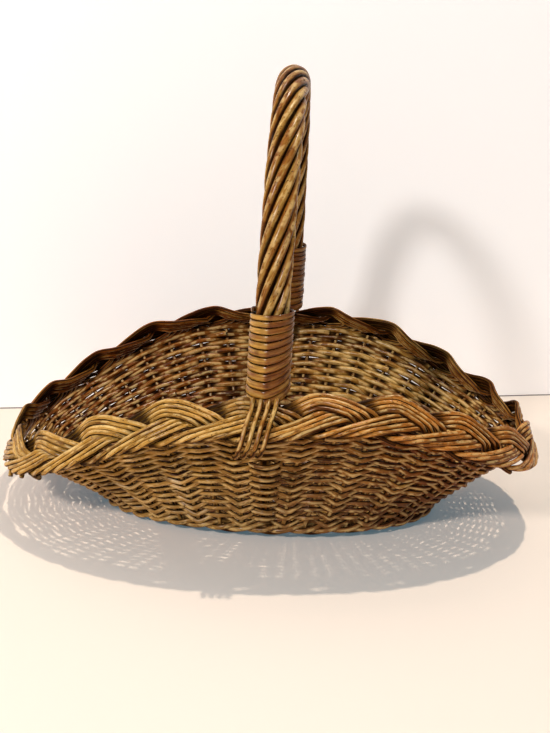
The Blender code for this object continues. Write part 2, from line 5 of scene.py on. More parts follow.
import bpy
import numpy as np
from bpy.props import FloatProperty, FloatVectorProperty, IntProperty, PointerProperty
from bpy.types import Operator, Panel, PropertyGroup
from mathutils import Matrix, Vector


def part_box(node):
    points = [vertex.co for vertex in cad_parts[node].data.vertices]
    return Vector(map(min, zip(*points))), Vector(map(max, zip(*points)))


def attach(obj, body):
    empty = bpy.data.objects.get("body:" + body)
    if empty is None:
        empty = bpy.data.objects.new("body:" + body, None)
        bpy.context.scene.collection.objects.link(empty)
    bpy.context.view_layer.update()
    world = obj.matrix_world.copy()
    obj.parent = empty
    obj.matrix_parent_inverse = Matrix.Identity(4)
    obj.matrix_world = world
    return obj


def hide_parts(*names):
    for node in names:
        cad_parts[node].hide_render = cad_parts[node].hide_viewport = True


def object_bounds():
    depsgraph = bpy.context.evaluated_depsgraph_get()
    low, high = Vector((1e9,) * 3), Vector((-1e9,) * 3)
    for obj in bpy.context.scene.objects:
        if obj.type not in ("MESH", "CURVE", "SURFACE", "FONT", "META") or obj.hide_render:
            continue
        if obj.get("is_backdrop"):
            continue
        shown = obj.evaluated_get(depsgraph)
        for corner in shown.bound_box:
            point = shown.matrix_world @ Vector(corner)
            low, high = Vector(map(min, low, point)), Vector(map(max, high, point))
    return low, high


bl_info = {
    "name": "Foraging Basket",
    "version": (1, 0, 0),
    "blender": (4, 5, 0),
    "location": "View3D > Sidebar > Basket",
    "description": "Weaves an oval willow basket with a plaited border and a roped bow handle",
    "category": "Add Mesh",
}

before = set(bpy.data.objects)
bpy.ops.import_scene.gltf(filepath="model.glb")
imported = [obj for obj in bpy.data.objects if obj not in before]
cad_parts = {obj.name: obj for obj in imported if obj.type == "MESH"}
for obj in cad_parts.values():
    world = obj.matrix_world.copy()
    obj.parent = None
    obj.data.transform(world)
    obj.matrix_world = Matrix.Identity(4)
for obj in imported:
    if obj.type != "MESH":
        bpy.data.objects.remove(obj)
CAD_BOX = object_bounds()
BODY = "root"
TURN = 2.0 * math.pi
OVAL_STEPS = 2880
# Metres between the maps of two rods, so that they don't show the same grain
MAP_STEP = 0.61
# Radius at which the grain wraps round a rod, whatever the rod's own radius
ROD_TURN_RADIUS = 0.0022
# Shares of the wall's height where a leg of the handle ends, and above which the rows pass outside it
LEG_TIP_RISE = 0.12
LEG_LEAVES_RISE = 0.70
STRANDS = 3
# From the plait's middle to its edge
PLAIT_HALF_WIDTH = 0.0188
# Shares of the border between which cut ends stick out, and how many of them
CUT_ENDS = ((0.455, 0.560, 11), (0.022, 0.150, 9))
# Lengths from the handle's foot where the roping starts and where it begins to turn
ROPING_START = 0.0032
ROPING_TURNS_FROM = 0.062
TAIL_STEPS = 60
# Where the binding's ridge over the middle tail stands, in degrees round the handle
RIDGE_ANGLE = -94.0


def metres(name, description, default):
    return FloatProperty(name=name, description=description, default=default, unit="LENGTH", precision=5)


def plain(name, description, default):
    return FloatProperty(name=name, description=description, default=default, precision=4)


def degrees(name, description, default):
    return FloatProperty(name=name, description=description, default=math.radians(default), subtype="ANGLE")


def whole(name, description, default):
    return IntProperty(name=name, description=description, default=default, min=1)


def colour(name, description, default):
    return FloatVectorProperty(
        name=name, description=description, default=default, subtype="COLOR", min=0.0, max=1.0
    )


class BASKET_PG_bowl(PropertyGroup):
    """Sizes of the bowl, taken from the solids."""

    half_length: metres("Half length", "Middle of the plait at the two ends", 0.222)
    half_width: metres("Half width", "Middle of the plait at the two sides", 0.148)
    side_height: metres("Side height", "Middle of the plait at the handle", 0.131)
    left_height: metres("Left end height", "Middle of the plait at the left end", 0.051)
    right_height: metres("Right end height", "Middle of the plait at the right end", 0.075)
    sweep: plain("Sweep", "How late the border rises towards the handle", 3.3)
    oval_power: plain("Border oval power", "1 is an ellipse, less is fuller", 0.85)
    tilt_sides: degrees("Tilt at the sides", "How far the plait's face looks up at the handle", 49.0)
    tilt_ends: degrees("Tilt at the ends", "How far the plait's face looks up at the two ends", 20.0)
    leg_dip: metres("Dip at the legs", "How far the handle presses the border down", 0.006)
    leg_push: metres("Push at the legs", "How far the handle pushes the border out", 0.003)
    leg_reach: metres("Reach of the dip", "Length of border that the handle bends", 0.050)
    base_length: metres("Base half length", "Where the stakes turn up at the ends", 0.141)
    base_width: metres("Base half width", "Where the stakes turn up at the sides", 0.082)
    base_power: plain("Base oval power", "1 is an ellipse, less is fuller", 0.95)
    base_thickness: metres("Base thickness", "Height of the woven base", 0.013)
    short_sticks: whole("Short sticks", "Thick sticks across the base", 5)
    stick_spacing: metres("Stick spacing", "Between two short sticks", 0.034)
    long_sticks: whole("Long sticks", "Thin sticks along the base", 3)
    stick_pitch: metres("Long stick pitch", "Between two long sticks where the short ones hold them", 0.0054)
    stick_splay: metres("Long stick splay", "Between two long sticks at their ends", 0.028)
    splay_start: metres("Splay start", "Where the long sticks begin to part", 0.0766)
    flare: plain("Wall flare", "How hollow the wall curves outwards", 1.16)
    plait_depth: metres("Plait depth", "From the plait's middle to the wall's top", 0.0078)


class BASKET_PG_weave(PropertyGroup):
    """Sizes of the stakes and the rods woven round them."""

    places: whole("Stake places", "Stakes round the wall, the two legs of the handle among them", 42)
    rows: whole("Rows", "Rows of siding", 28)
    rod_radius: metres("Siding rod radius", "Radius of a woven rod at its butt", 0.00205)
    stake_radius: metres("Stake radius", "Radius of an upright stake", 0.0021)
    first_rise: plain("First row", "Share of the wall's height at the lowest row", 0.085)
    last_rise: plain("Last row", "Share of the wall's height at the highest row", 0.985)
    pitch_ratio: plain("Pitch ratio", "How much wider apart the lowest rows lie than the highest", 1.35)
    zigzag: metres("Zigzag", "How far each row dips and rises from stake to stake", 0.0030)
    back_fullness: plain("Back fullness", "How much thicker the rods are at the back of the bowl", 0.55)
    wale_radius: metres("Wale rod radius", "Radius of a rod of the upsett", 0.0023)
    wale_rise: plain("Wale rise", "Share of the wall's height at the upsett", 0.038)


class BASKET_PG_plait(PropertyGroup):
    """Sizes of the plaited border."""

    waves: whole("Waves", "Full waves of each strand round the border", 7)
    rods: whole("Rods a strand", "Rods side by side in each strand", 4)
    rod_radius: metres("Plait rod radius", "Radius of a rod of the plait", 0.00205)
    fan: plain("Fan", "Share of a wave by which each rod follows the one beside it", 0.070)
    rod_spacing: metres("Rod spacing", "Between two rods on their way back to the outer edge", 0.0038)
    swing: metres("Swing", "How far a strand moves to each side", 0.0134)
    lift: metres("Lift", "How far a strand rises over the next", 0.0031)
    long_share: plain("Long share", "Share of a wave spent on the long outer pass", 0.60)
    start: degrees("Start", "Where the wave stands at the front leg", 30.0)


class BASKET_PG_handle(PropertyGroup):
    """Sizes of the bow handle, its roping and its bindings."""

    top: metres("Top", "Height of the bow's middle line", 0.363)
    power: plain("Bow power", "1 is an ellipse, less is squarer", 0.86)
    offset: metres("Offset", "How far the feet stand off the middle", 0.013)
    inset: metres("Leg inset", "From the plait's middle to the leg", 0.0235)
    foot_clearance: metres("Foot clearance", "Height of the foot over the plait", 0.0027)
    core_radius: metres("Core radius", "Radius of the bow under the roping", 0.0060)
    tip_radius: metres("Leg tip radius", "Radius of the pointed end of a leg", 0.0026)
    rods: whole("Roping rods", "Rods laid round the bow", 8)
    butt_radius: metres("Butt radius", "Radius of a roping rod at its thick end", 0.0037)
    end_radius: metres("Tip radius", "Radius of a roping rod at its thin end", 0.0031)
    turns: plain("Turns", "Turns of the roping from foot to foot", 2.5)
    tail_radius: metres("Tail radius", "Radius of a roping rod's tucked end", 0.0019)
    tail_spacing: metres("Tail spacing", "Between two tucked ends", 0.0058)
    skein_turns: whole("Binding turns", "Turns of skein round each foot", 12)
    skein_width: metres("Skein width", "Width of the split willow skein", 0.0056)
    skein_radius: metres("Binding radius", "Radius of the binding over the roping", 0.0158)
    ridge: metres("Ridge", "How far the skein stands out over the middle rod", 0.0042)
    skein_lift: metres("Skein lift", "How far each turn climbs past the middle rod", 0.0076)


class BASKET_PG_finish(PropertyGroup):
    """Colours of the stained and varnished willow, of its painted shade and highlight, and of the stage."""

    # Palest rods, and also the colour of the painted highlight along the rods' crowns
    straw: colour("Straw", "Palest rods, rubbed bare of stain, and the painted highlight on their crowns", (0.78, 0.52, 0.20))
    cream: colour("Cream", "Highlights of the outer wall where the stain is thin", (0.84, 0.66, 0.38))
    golden: colour("Golden", "Yellow brown rods", (0.35, 0.175, 0.030))
    amber: colour("Amber", "Orange brown rods", (0.31, 0.098, 0.010))
    chestnut: colour("Chestnut", "Red brown rods", (0.155, 0.036, 0.004))
    umber: colour("Umber", "Grey purple brown rods", (0.155, 0.085, 0.045))
    # Darkest brown: painted shade in the crevices and on the rods' pressed sides, and, at 1.8 times, the
    # willow's dark flecks
    shade_and_flecks: colour("Shade and flecks", "Painted shade in the crevices, and dark flecks", (0.016, 0.0045, 0.0012))
    wall_tint: colour("Wall", "Wall behind the basket", (0.975, 0.935, 0.915))
    floor_tint: colour("Floor", "Table under the basket", (0.86, 0.685, 0.555))
    joint_tint: colour("Joint", "Line where the wall meets the table", (0.36, 0.34, 0.33))
    air_tint: colour("Air", "Bluish daylight that the pale table gives back", (0.36, 0.72, 0.92))


def unit(vectors):
    return vectors / np.linalg.norm(vectors, axis=-1, keepdims=True)


def signed_power(values, power):
    return np.sign(values) * np.abs(values) ** power


def eased(values, low, high):
    """0 up to low, 1 from high on, and smooth between the two."""
    share = np.clip((values - low) / (high - low), 0.0, 1.0)
    return share * share * (3.0 - 2.0 * share)


def wobble(seed, along, length):
    """Smooth wandering between about -1 and 1 along a rod, the same each run."""
    rng = np.random.default_rng(seed)
    along = np.asarray(along, float)
    total = np.zeros(along.shape)
    for octave in (1.0, 2.1, 4.3):
        total += np.sin(TURN * along * octave / length + rng.uniform(0.0, TURN)) / octave
    return total / 1.7


def ring_wobble(seed, turns_round, least, most):
    """Wandering round a closed ring that meets itself. The shares run from 0 to 1."""
    rng = np.random.default_rng(seed)
    total = np.zeros(np.shape(turns_round))
    for count in rng.integers(least, most, 4):
        total += np.sin(TURN * (turns_round * count + rng.uniform()))
    return total / 2.6


class Bowl:
    """The bowl's surfaces, worked out once from the sizes in the sidebar."""

    def __init__(self, sizes, weave, handle):
        self.sizes, self.weave, self.handle = sizes, weave, handle
        self.border = self.oval(sizes.half_length, sizes.half_width, sizes.oval_power)
        self.foot = self.oval(sizes.base_length, sizes.base_width, sizes.base_power)
        self.length = self.border[1][-1]
        self.front_leg = 3 * weave.places // 4
        self.back_leg = weave.places // 4
        self.stick_height = sizes.base_thickness / 2

    @staticmethod
    def oval(half_length, half_width, power):
        angles = np.linspace(0.0, TURN, OVAL_STEPS + 1)
        corners = np.stack([np.cos(angles), np.sin(angles)], axis=1)
        outline = np.array([half_length, half_width]) * signed_power(corners, power)
        steps = np.linalg.norm(np.diff(outline, axis=0), axis=1)
        return outline, np.concatenate([[0.0], np.cumsum(steps)])

    @staticmethod
    def on_oval(oval, shares):
        outline, run = oval
        along = (np.asarray(shares, float) % 1.0) * run[-1]
        return np.stack([np.interp(along, run, outline[:, axis]) for axis in (0, 1)], axis=-1)

    def place_share(self, place):
        return (np.asarray(place, float) + 0.5) / self.weave.places - self.handle.offset / self.length

    def nearness_to_legs(self, shares):
        near = np.zeros(np.shape(shares))
        for leg in (self.front_leg, self.back_leg):
            apart = (np.asarray(shares, float) - self.place_share(leg) + 0.5) % 1.0 - 0.5
            near = near + np.exp(-((apart * self.length / self.sizes.leg_reach) ** 2))
        return near

    def rim(self, shares):
        sizes = self.sizes
        near = self.nearness_to_legs(shares)
        step = 2.0 / OVAL_STEPS
        run = unit(self.on_oval(self.border, shares + step) - self.on_oval(self.border, shares - step))
        outward = np.stack([run[..., 1], -run[..., 0]], axis=-1)
        plan = self.on_oval(self.border, shares)
        ends = (sizes.left_height + sizes.right_height) / 2
        sideways = np.abs(plan[..., 1] / sizes.half_width) ** sizes.sweep
        lean = (sizes.right_height - sizes.left_height) / 2 * plan[..., 0] / sizes.half_length
        plan = plan + sizes.leg_push * near[..., None] * outward
        height = ends + (sizes.side_height - ends) * sideways + lean - sizes.leg_dip * near
        return np.concatenate([plan, height[..., None]], axis=-1)

    def rim_frames(self, shares):
        """Middle line of the plait, its run, its face's normal, and the way across towards the bowl."""
        shares = np.asarray(shares, float)
        sizes = self.sizes
        step = 2.0 / OVAL_STEPS
        middle = self.rim(shares)
        run = unit(self.rim(shares + step) - self.rim(shares - step))
        outward = unit(np.stack([run[..., 1], -run[..., 0], 0 * run[..., 0]], axis=-1))
        sideways = (middle[..., 1] / sizes.half_width) ** 2
        tilt = sizes.tilt_ends + (sizes.tilt_sides - sizes.tilt_ends) * sideways
        face = np.cos(tilt)[..., None] * outward + np.sin(tilt)[..., None] * np.array([0, 0, 1.0])
        face = unit(face - np.sum(face * run, axis=-1, keepdims=True) * run)
        return middle, run, face, np.cross(face, run)

    def wall(self, shares, rises):
        """Middle surface of the wall, from rise 0 at the base to rise 1 under the plait."""
        shares, rises = np.broadcast_arrays(np.asarray(shares, float), np.asarray(rises, float))
        middle, _, face, _ = self.rim_frames(shares)
        top = middle - face * self.sizes.plait_depth
        level = np.full(shares.shape + (1,), self.stick_height)
        foot = np.concatenate([self.on_oval(self.foot, shares), level], axis=-1)
        flared = np.abs(rises) ** self.sizes.flare
        return foot + (top - foot) * np.stack([flared, flared, rises], axis=-1)

    def wall_frames(self, shares, rises):
        """Points of the wall with its outward normals and the way up it."""
        step = 2.0 / OVAL_STEPS
        rises = np.broadcast_to(np.asarray(rises, float), np.shape(shares))
        low = np.maximum(rises - step, 0.0)
        along = self.wall(shares + step, rises) - self.wall(shares - step, rises)
        up = unit(self.wall(shares, low + 2 * step) - self.wall(shares, low))
        return self.wall(shares, rises), unit(np.cross(along, up)), up

    def slant(self, shares):
        return np.linalg.norm(self.wall(shares, 1.0) - self.wall(shares, 0.0), axis=-1)


class Bundle:
    """Rods gathered into one mesh, each with marks for its colour and its painted shade, and a map along and
    round it.
    """

    laid = 0

    def __init__(self):
        self.points, self.faces, self.maps, self.marks = [], [], [], []
        self.count = 0

    def add(self, points, ups, radii, tone, closed=False, sides=10, squash=1.0, age=0.0, depth=0.0):
        """A rod along points. The ups are directions out of the surface that it lies in.

        The depth is 1 where the rod lies over the others and -1 where it lies under them.
        It becomes painted shade: dark on the underside where the rod lies over the others,
        and on the upper side where it lies under them.
        """
        points = np.asarray(points, float)
        ups = np.broadcast_to(np.asarray(ups, float), points.shape)
        count = len(points)
        if closed:
            run = unit(np.roll(points, -1, axis=0) - np.roll(points, 1, axis=0))
        else:
            run = unit(np.gradient(points, axis=0))
        side = unit(np.cross(run, ups))
        up = np.cross(side, run)
        radii = np.broadcast_to(radii, (count,))[:, None, None]
        angles = (np.arange(sides) + 0.5) / sides * TURN
        rings = points[:, None] - up[:, None] * (np.cos(angles) * squash)[None, :, None] * radii
        rings = rings + side[:, None] * np.sin(angles)[None, :, None] * radii
        self.wrap(points, rings, closed)
        tone, age, depth = (np.broadcast_to(value, (count,)) for value in (tone, age, depth))
        marks = np.repeat(np.stack([tone, age, 0 * tone, 0 * tone], axis=1), sides, axis=0)
        # The fourth mark is painted shade on the side that lies against the other rods
        marks[:, 3] = np.clip(depth[:, None] * np.cos(angles)[None, :], 0.0, 1.0).ravel()
        self.points.append(rings.reshape(-1, 3))
        self.marks.append(marks)
        self.count += count * sides
        if not closed:
            self.cap(rings[0][::-1], points[0], self.along[0], tone[0])
            self.cap(rings[-1], points[-1], self.along[-1], tone[-1])

    def wrap(self, points, rings, closed):
        """The faces between a rod's rings, with a map in metres along it and in turns round it."""
        count, sides = rings.shape[:2]
        steps = np.linalg.norm(np.diff(points, axis=0), axis=1)
        Bundle.laid += 1
        self.along = np.concatenate([[0.0], np.cumsum(steps)]) + Bundle.laid * MAP_STEP
        ends = np.append(self.along, self.along[-1] + np.linalg.norm(points[0] - points[-1]))
        ring = np.arange(count if closed else count - 1)[:, None]
        turn = np.arange(sides)[None, :]
        onward, next_turn = (ring + 1) % count, (turn + 1) % sides
        quads = ((ring, turn), (onward, turn), (onward, next_turn), (ring, next_turn))
        quads = np.stack([first * sides + second for first, second in quads], axis=-1)
        here, there = ends[ring] + 0.0 * turn, ends[ring + 1] + 0.0 * turn
        low = turn / sides + 0.0 * ring
        high = low + 1.0 / sides
        corners = np.stack([here, low, there, low, there, high, here, high], axis=-1)
        self.faces.extend(map(tuple, quads.reshape(-1, 4) + self.count))
        self.maps.append(corners.reshape(-1, 2))

    def cap(self, ring, centre, along, tone):
        """The cut end of a rod, marked as bare wood."""
        sides = len(ring)
        self.points.append(np.concatenate([ring, centre[None]]))
        self.marks.append(np.tile([tone, 0.0, 1.0, 0.0], (sides + 1, 1)))
        for k in range(sides):
            self.faces.append((self.count + (k + 1) % sides, self.count + k, self.count + sides))
            self.maps.append(np.array([[along, k / sides], [along, (k + 1) / sides], [along, 0.5]]))
        self.count += sides + 1

    def finish(self, name, material, slot, *nodes):
        """The bundle as one object that rides on the basket and stands for the given solids."""
        mesh = bpy.data.meshes.new(name)
        mesh.from_pydata(np.concatenate(self.points).tolist(), [], [tuple(map(int, f)) for f in self.faces])
        layer = mesh.uv_layers.new(name="rod_map")
        layer.data.foreach_set("uv", np.concatenate(self.maps).astype(np.float32).ravel())
        marks = mesh.color_attributes.new("rod_marks", "FLOAT_COLOR", "POINT")
        marks.data.foreach_set("color", np.concatenate(self.marks).astype(np.float32).ravel())
        mesh.shade_smooth()
        mesh.materials.append(material)
        piece = bpy.data.objects.new(name, mesh)
        bpy.context.scene.collection.objects.link(piece)
        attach(piece, BODY)
        if nodes:
            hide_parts(*nodes)
        return piece


def sizes_now():
    scene = bpy.context.scene
    return Bowl(scene.basket_bowl, scene.basket_weave, scene.basket_handle)


# Node building


def node(tree, kind, **values):
    made = tree.nodes.new(kind)
    for key, value in values.items():
        setattr(made, key, value)
    return made


def feed(tree, socket, value):
    if isinstance(value, bpy.types.NodeSocket):
        tree.links.new(value, socket)
    elif value is not None:
        socket.default_value = value


def maths(tree, operation, first, second=None, third=None, clamp=False):
    made = node(tree, "ShaderNodeMath", operation=operation, use_clamp=clamp)
    for index, value in enumerate((first, second, third)):
        feed(tree, made.inputs[index], value)
    return made.outputs[0]


def times(tree, first, second):
    return maths(tree, "MULTIPLY", first, second)


def mix_colour(tree, factor, first, second, blend="MIX"):
    made = node(tree, "ShaderNodeMix", data_type="RGBA", blend_type=blend)
    feed(tree, made.inputs[0], factor)
    feed(tree, made.inputs[6], first if isinstance(first, bpy.types.NodeSocket) else (*first, 1.0))
    feed(tree, made.inputs[7], second if isinstance(second, bpy.types.NodeSocket) else (*second, 1.0))
    return made.outputs[2]


def noise(tree, vector, scale, detail=2.0, roughness=0.5, stretch=None):
    """Noise over a vector, drawn out along an axis where its stretch is under 1."""
    if stretch:
        longer = node(tree, "ShaderNodeVectorMath", operation="MULTIPLY")
        feed(tree, longer.inputs[0], vector)
        feed(tree, longer.inputs[1], stretch)
        vector = longer.outputs[0]
    made = node(tree, "ShaderNodeTexNoise")
    feed(tree, made.inputs["Vector"], vector)
    for key, value in (("Scale", scale), ("Detail", detail), ("Roughness", roughness)):
        made.inputs[key].default_value = value
    return made.outputs["Fac"]


def span(tree, value, low, high, to_low=0.0, to_high=1.0):
    made = node(tree, "ShaderNodeMapRange", interpolation_type="SMOOTHSTEP")
    feed(tree, made.inputs["Value"], value)
    for key, number in (("From Min", low), ("From Max", high), ("To Min", to_low), ("To Max", to_high)):
        feed(tree, made.inputs[key], number)
    return made.outputs["Result"]


def new_group(name, gives, takes=()):
    """An empty node group with the named outputs, and inputs with their defaults."""
    group = bpy.data.node_groups.new(name, "ShaderNodeTree")
    for label, value in takes:
        socket = group.interface.new_socket(name=label, in_out="INPUT", socket_type="NodeSocketFloat")
        socket.default_value = value
    for label in gives:
        kind = "NodeSocketVector" if label == "Along" else "NodeSocketFloat"
        group.interface.new_socket(name=label, in_out="OUTPUT", socket_type=kind)
    return group, node(group, "NodeGroupInput"), node(group, "NodeGroupOutput")


def give(group, out, **values):
    for label, value in values.items():
        group.links.new(value, out.inputs[label])


def rod_space_group():
    """Coordinates that run along a rod and wrap round it, apart for each rod, and the rod's marks, among them
    its painted shade.
    """
    group, _, out = new_group("Rod space", ("Along", "Around", "Tone", "Age", "Cut", "Hidden"))
    place = node(group, "ShaderNodeSeparateXYZ")
    group.links.new(node(group, "ShaderNodeUVMap", uv_map="rod_map").outputs[0], place.inputs[0])
    marks = node(group, "ShaderNodeVertexColor", layer_name="rod_marks")
    parts = node(group, "ShaderNodeSeparateColor")
    group.links.new(marks.outputs["Color"], parts.inputs[0])
    turn = times(group, place.outputs[1], TURN)
    joined = node(group, "ShaderNodeCombineXYZ")
    feed(group, joined.inputs[0], place.outputs[0])
    feed(group, joined.inputs[1], times(group, maths(group, "COSINE", turn), ROD_TURN_RADIUS))
    feed(group, joined.inputs[2], times(group, maths(group, "SINE", turn), ROD_TURN_RADIUS))
    tone, age, cut = parts.outputs[:3]
    give(group, out, Along=joined.outputs[0], Around=place.outputs[1], Tone=tone, Age=age, Cut=cut)
    # The alpha of the marks is painted shade on the sides that lie against other rods
    give(group, out, Hidden=marks.outputs["Alpha"])


def grain_group(space):
    """Long streaks, fine flecks and leaf scars of peeled and stained willow."""
    gives = ("Streaks", "Patches", "Flecks", "Scars", "Height")
    group, given, out = new_group("Willow grain", gives, [("Fleck Amount", 0.5)])
    along = node(group, "ShaderNodeGroup", node_tree=space).outputs["Along"]
    fine = noise(group, along, 800.0, 3.0, 0.62, (0.075, 1.0, 1.0))
    patches = noise(group, along, 45.0, stretch=(1.0, 4.0, 4.0))
    speck = noise(group, along, 1000.0, 1.0, stretch=(0.5, 1.0, 1.0))
    edge = maths(group, "SUBTRACT", 0.76, times(group, given.outputs["Fleck Amount"], 0.16))
    flecks = span(group, speck, edge, maths(group, "ADD", edge, 0.05))
    scars = span(group, noise(group, along, 70.0, 0.0, stretch=(1.0, 0.3, 0.3)), 0.68, 0.76)
    height = maths(group, "MULTIPLY_ADD", fine, 0.8, times(group, scars, 0.9))
    height = maths(group, "SUBTRACT", height, times(group, flecks, 0.6))
    streaks = span(group, fine, 0.34, 0.66)
    give(group, out, Streaks=streaks, Patches=patches, Flecks=flecks, Scars=scars, Height=height)


def wear_group(space):
    """Painted shade along the sides where rods touch and on the sides that lie under other rods, a painted
    highlight broken into streaks along the rods' crowns, and dust in the crevices that dulls the varnish.
    """
    group, given, out = new_group("Rod wear", ("Crevice", "Crown", "Dust"), [("Crevice Width", 0.5)])
    here = node(group, "ShaderNodeGroup", node_tree=space).outputs
    facing = maths(group, "ABSOLUTE", maths(group, "COSINE", times(group, here["Around"], TURN)))
    uneven = noise(group, here["Along"], 170.0)
    spread = maths(group, "MULTIPLY_ADD", uneven, 1.0, 0.5)
    limit = times(group, given.outputs["Crevice Width"], spread)
    # Painted shade along both sides of a rod, where it meets its neighbours
    side = maths(group, "SUBTRACT", 1.0, span(group, facing, times(group, limit, 0.2), limit))
    # Painted shade on the side of a rod that lies against the rods over or under it
    under = span(group, here["Hidden"], 0.10, 0.75)
    crevice_shade = maths(group, "MAXIMUM", side, under)
    # Painted highlight along each rod's crown, broken into streaks
    highlight_breaks = noise(group, here["Along"], 300.0, stretch=(0.5, 1.0, 1.0))
    crown_highlight = times(group, span(group, facing, 0.72, 0.97), span(group, highlight_breaks, 0.42, 0.60))
    crown_highlight = times(group, crown_highlight, maths(group, "SUBTRACT", 1.0, under))
    dust = span(group, times(group, uneven, crevice_shade), 0.42, 0.60)
    give(group, out, Crevice=crevice_shade, Crown=crown_highlight, Dust=dust)


def region_group():
    """How far to the right and how near the front a place on the basket is, broken up by patches."""
    group, _, out = new_group("Basket region", ("Right", "Front"))
    here = node(group, "ShaderNodeTexCoord").outputs["Object"]
    place = node(group, "ShaderNodeSeparateXYZ")
    group.links.new(here, place.inputs[0])
    patch = times(group, maths(group, "SUBTRACT", noise(group, here, 24.0), 0.5), 0.16)
    right = span(group, maths(group, "ADD", place.outputs[0], patch), -0.10, 0.12)
    front = span(group, maths(group, "SUBTRACT", patch, place.outputs[1]), -0.05, 0.05)
    give(group, out, Right=right, Front=front)


def shared_groups():
    names = ("Rod space", "Willow grain", "Rod wear", "Basket region")
    groups = bpy.data.node_groups
    if names[0] not in groups:
        rod_space_group()
        grain_group(groups[names[0]])
        wear_group(groups[names[0]])
        region_group()
    return [groups[name] for name in names]


def ramp(tree, value, stops):
    made = node(tree, "ShaderNodeValToRGB")
    feed(tree, made.inputs[0], value)
    ramp_stops = made.color_ramp.elements
    while len(ramp_stops) < len(stops):
        ramp_stops.new(0.5)
    for stop, (position, tint) in zip(ramp_stops, stops):
        stop.position = position
        stop.color = (*tint, 1.0)
    return made.outputs[0]


def scaled(tint, factor):
    return tuple(min(1.0, value * factor) for value in tint)


def blend(first, second, share):
    return tuple(a + (b - a) * share for a, b in zip(first, second))


def palette(tree, shade, right, left_tones, right_tones):
    """A rod's colour from its shade, through one range of tones at the left and one at the right."""
    stops = (0.06, 0.36, 0.64, 0.96)
    left = ramp(tree, shade, list(zip(stops, left_tones)))
    if left_tones == right_tones:
        return left
    return mix_colour(tree, right, left, ramp(tree, shade, list(zip(stops, right_tones))))


def willow(name, tones, crevice_shade, roughness, varnish, crown_highlight, flecks=0.5, gloss=0.04):
    """Stained willow, with painted shade in its crevices and a painted highlight along its crowns. The tones
    are for the left and the right, and a second pair for the back wall, partly the willow's own colour and
    partly painted shade.
    """
    if name in bpy.data.materials:
        return bpy.data.materials[name]
    finish = bpy.context.scene.basket_finish
    material = bpy.data.materials.new(name)
    material.use_nodes = True
    tree = material.node_tree
    shader = tree.nodes["Principled BSDF"]
    groups = [node(tree, "ShaderNodeGroup", node_tree=group) for group in shared_groups()]
    groups[1].inputs["Fleck Amount"].default_value = flecks
    groups[2].inputs["Crevice Width"].default_value = crevice_shade
    here, grain, wear, place = (group.outputs for group in groups)
    shade = maths(tree, "MULTIPLY_ADD", grain["Streaks"], 0.34, times(tree, here["Tone"], 0.50))
    patches = maths(tree, "MULTIPLY_ADD", grain["Patches"], 0.9, -0.42)
    shade = maths(tree, "ADD", shade, patches, clamp=True)
    base = palette(tree, shade, place["Right"], tones[0], tones[1])
    if len(tones) == 4:
        back = palette(tree, shade, place["Right"], tones[2], tones[3])
        # The back takes its own tones, darkened in part with painted shade
        base = mix_colour(tree, place["Front"], back, base)
    # The crown highlight is a painted highlight and the crevice shade is painted shade; age, flecks, scars
    # and cut ends are the willow's own marks
    for mask, strength, tint in (
        (here["Age"], 0.8, finish.umber),
        (wear["Crown"], crown_highlight, finish.straw),
        (grain["Flecks"], 0.8, scaled(finish.shade_and_flecks, 1.8)),
        (grain["Scars"], 0.5, scaled(finish.chestnut, 0.5)),
        (wear["Crevice"], 0.97, finish.shade_and_flecks),
        (here["Cut"], 0.8, scaled(finish.umber, 0.5)),
    ):
        base = mix_colour(tree, times(tree, mask, strength), base, tint)
    tree.links.new(base, shader.inputs["Base Color"])
    dull = maths(tree, "MULTIPLY_ADD", grain["Streaks"], 0.16, roughness - 0.10)
    dull = maths(tree, "ADD", dull, times(tree, wear["Dust"], 0.25), clamp=True)
    tree.links.new(dull, shader.inputs["Roughness"])
    coat = times(tree, span(tree, wear["Crevice"], 0.0, 0.5, 1.0, 0.0), varnish)
    tree.links.new(coat, shader.inputs["Coat Weight"])
    shader.inputs["Coat Roughness"].default_value = 0.24
    shader.inputs["Specular IOR Level"].default_value = gloss
    lumps = node(tree, "ShaderNodeBump")
    lumps.inputs["Strength"].default_value = 0.35
    lumps.inputs["Distance"].default_value = 0.0006
    tree.links.new(grain["Height"], lumps.inputs["Height"])
    tree.links.new(lumps.outputs[0], shader.inputs["Normal"])
    return material


def wall_willow():
    finish = bpy.context.scene.basket_finish
    amber, golden, chestnut = finish.amber, finish.golden, finish.chestnut
    dark = scaled(chestnut, 0.35)
    greyed = scaled(blend(golden, finish.umber, 0.30), 1.75)
    # Front left, front right, back left, back right: the back tones, seen from inside the bowl, are deeper
    # and redder at the left, partly the willow's own colour and partly painted shade
    tones = (
        (dark, scaled(golden, 1.15), greyed, finish.cream),
        (dark, chestnut, scaled(amber, 0.82), scaled(golden, 1.2)),
        (scaled(dark, 0.8), chestnut, scaled(amber, 0.8), blend(amber, finish.straw, 0.28)),
        (dark, blend(chestnut, golden, 0.3), scaled(golden, 1.05), finish.straw),
    )
    return willow("stained_wall", tones, crevice_shade=0.70, roughness=0.46, varnish=0.30, crown_highlight=0.56)


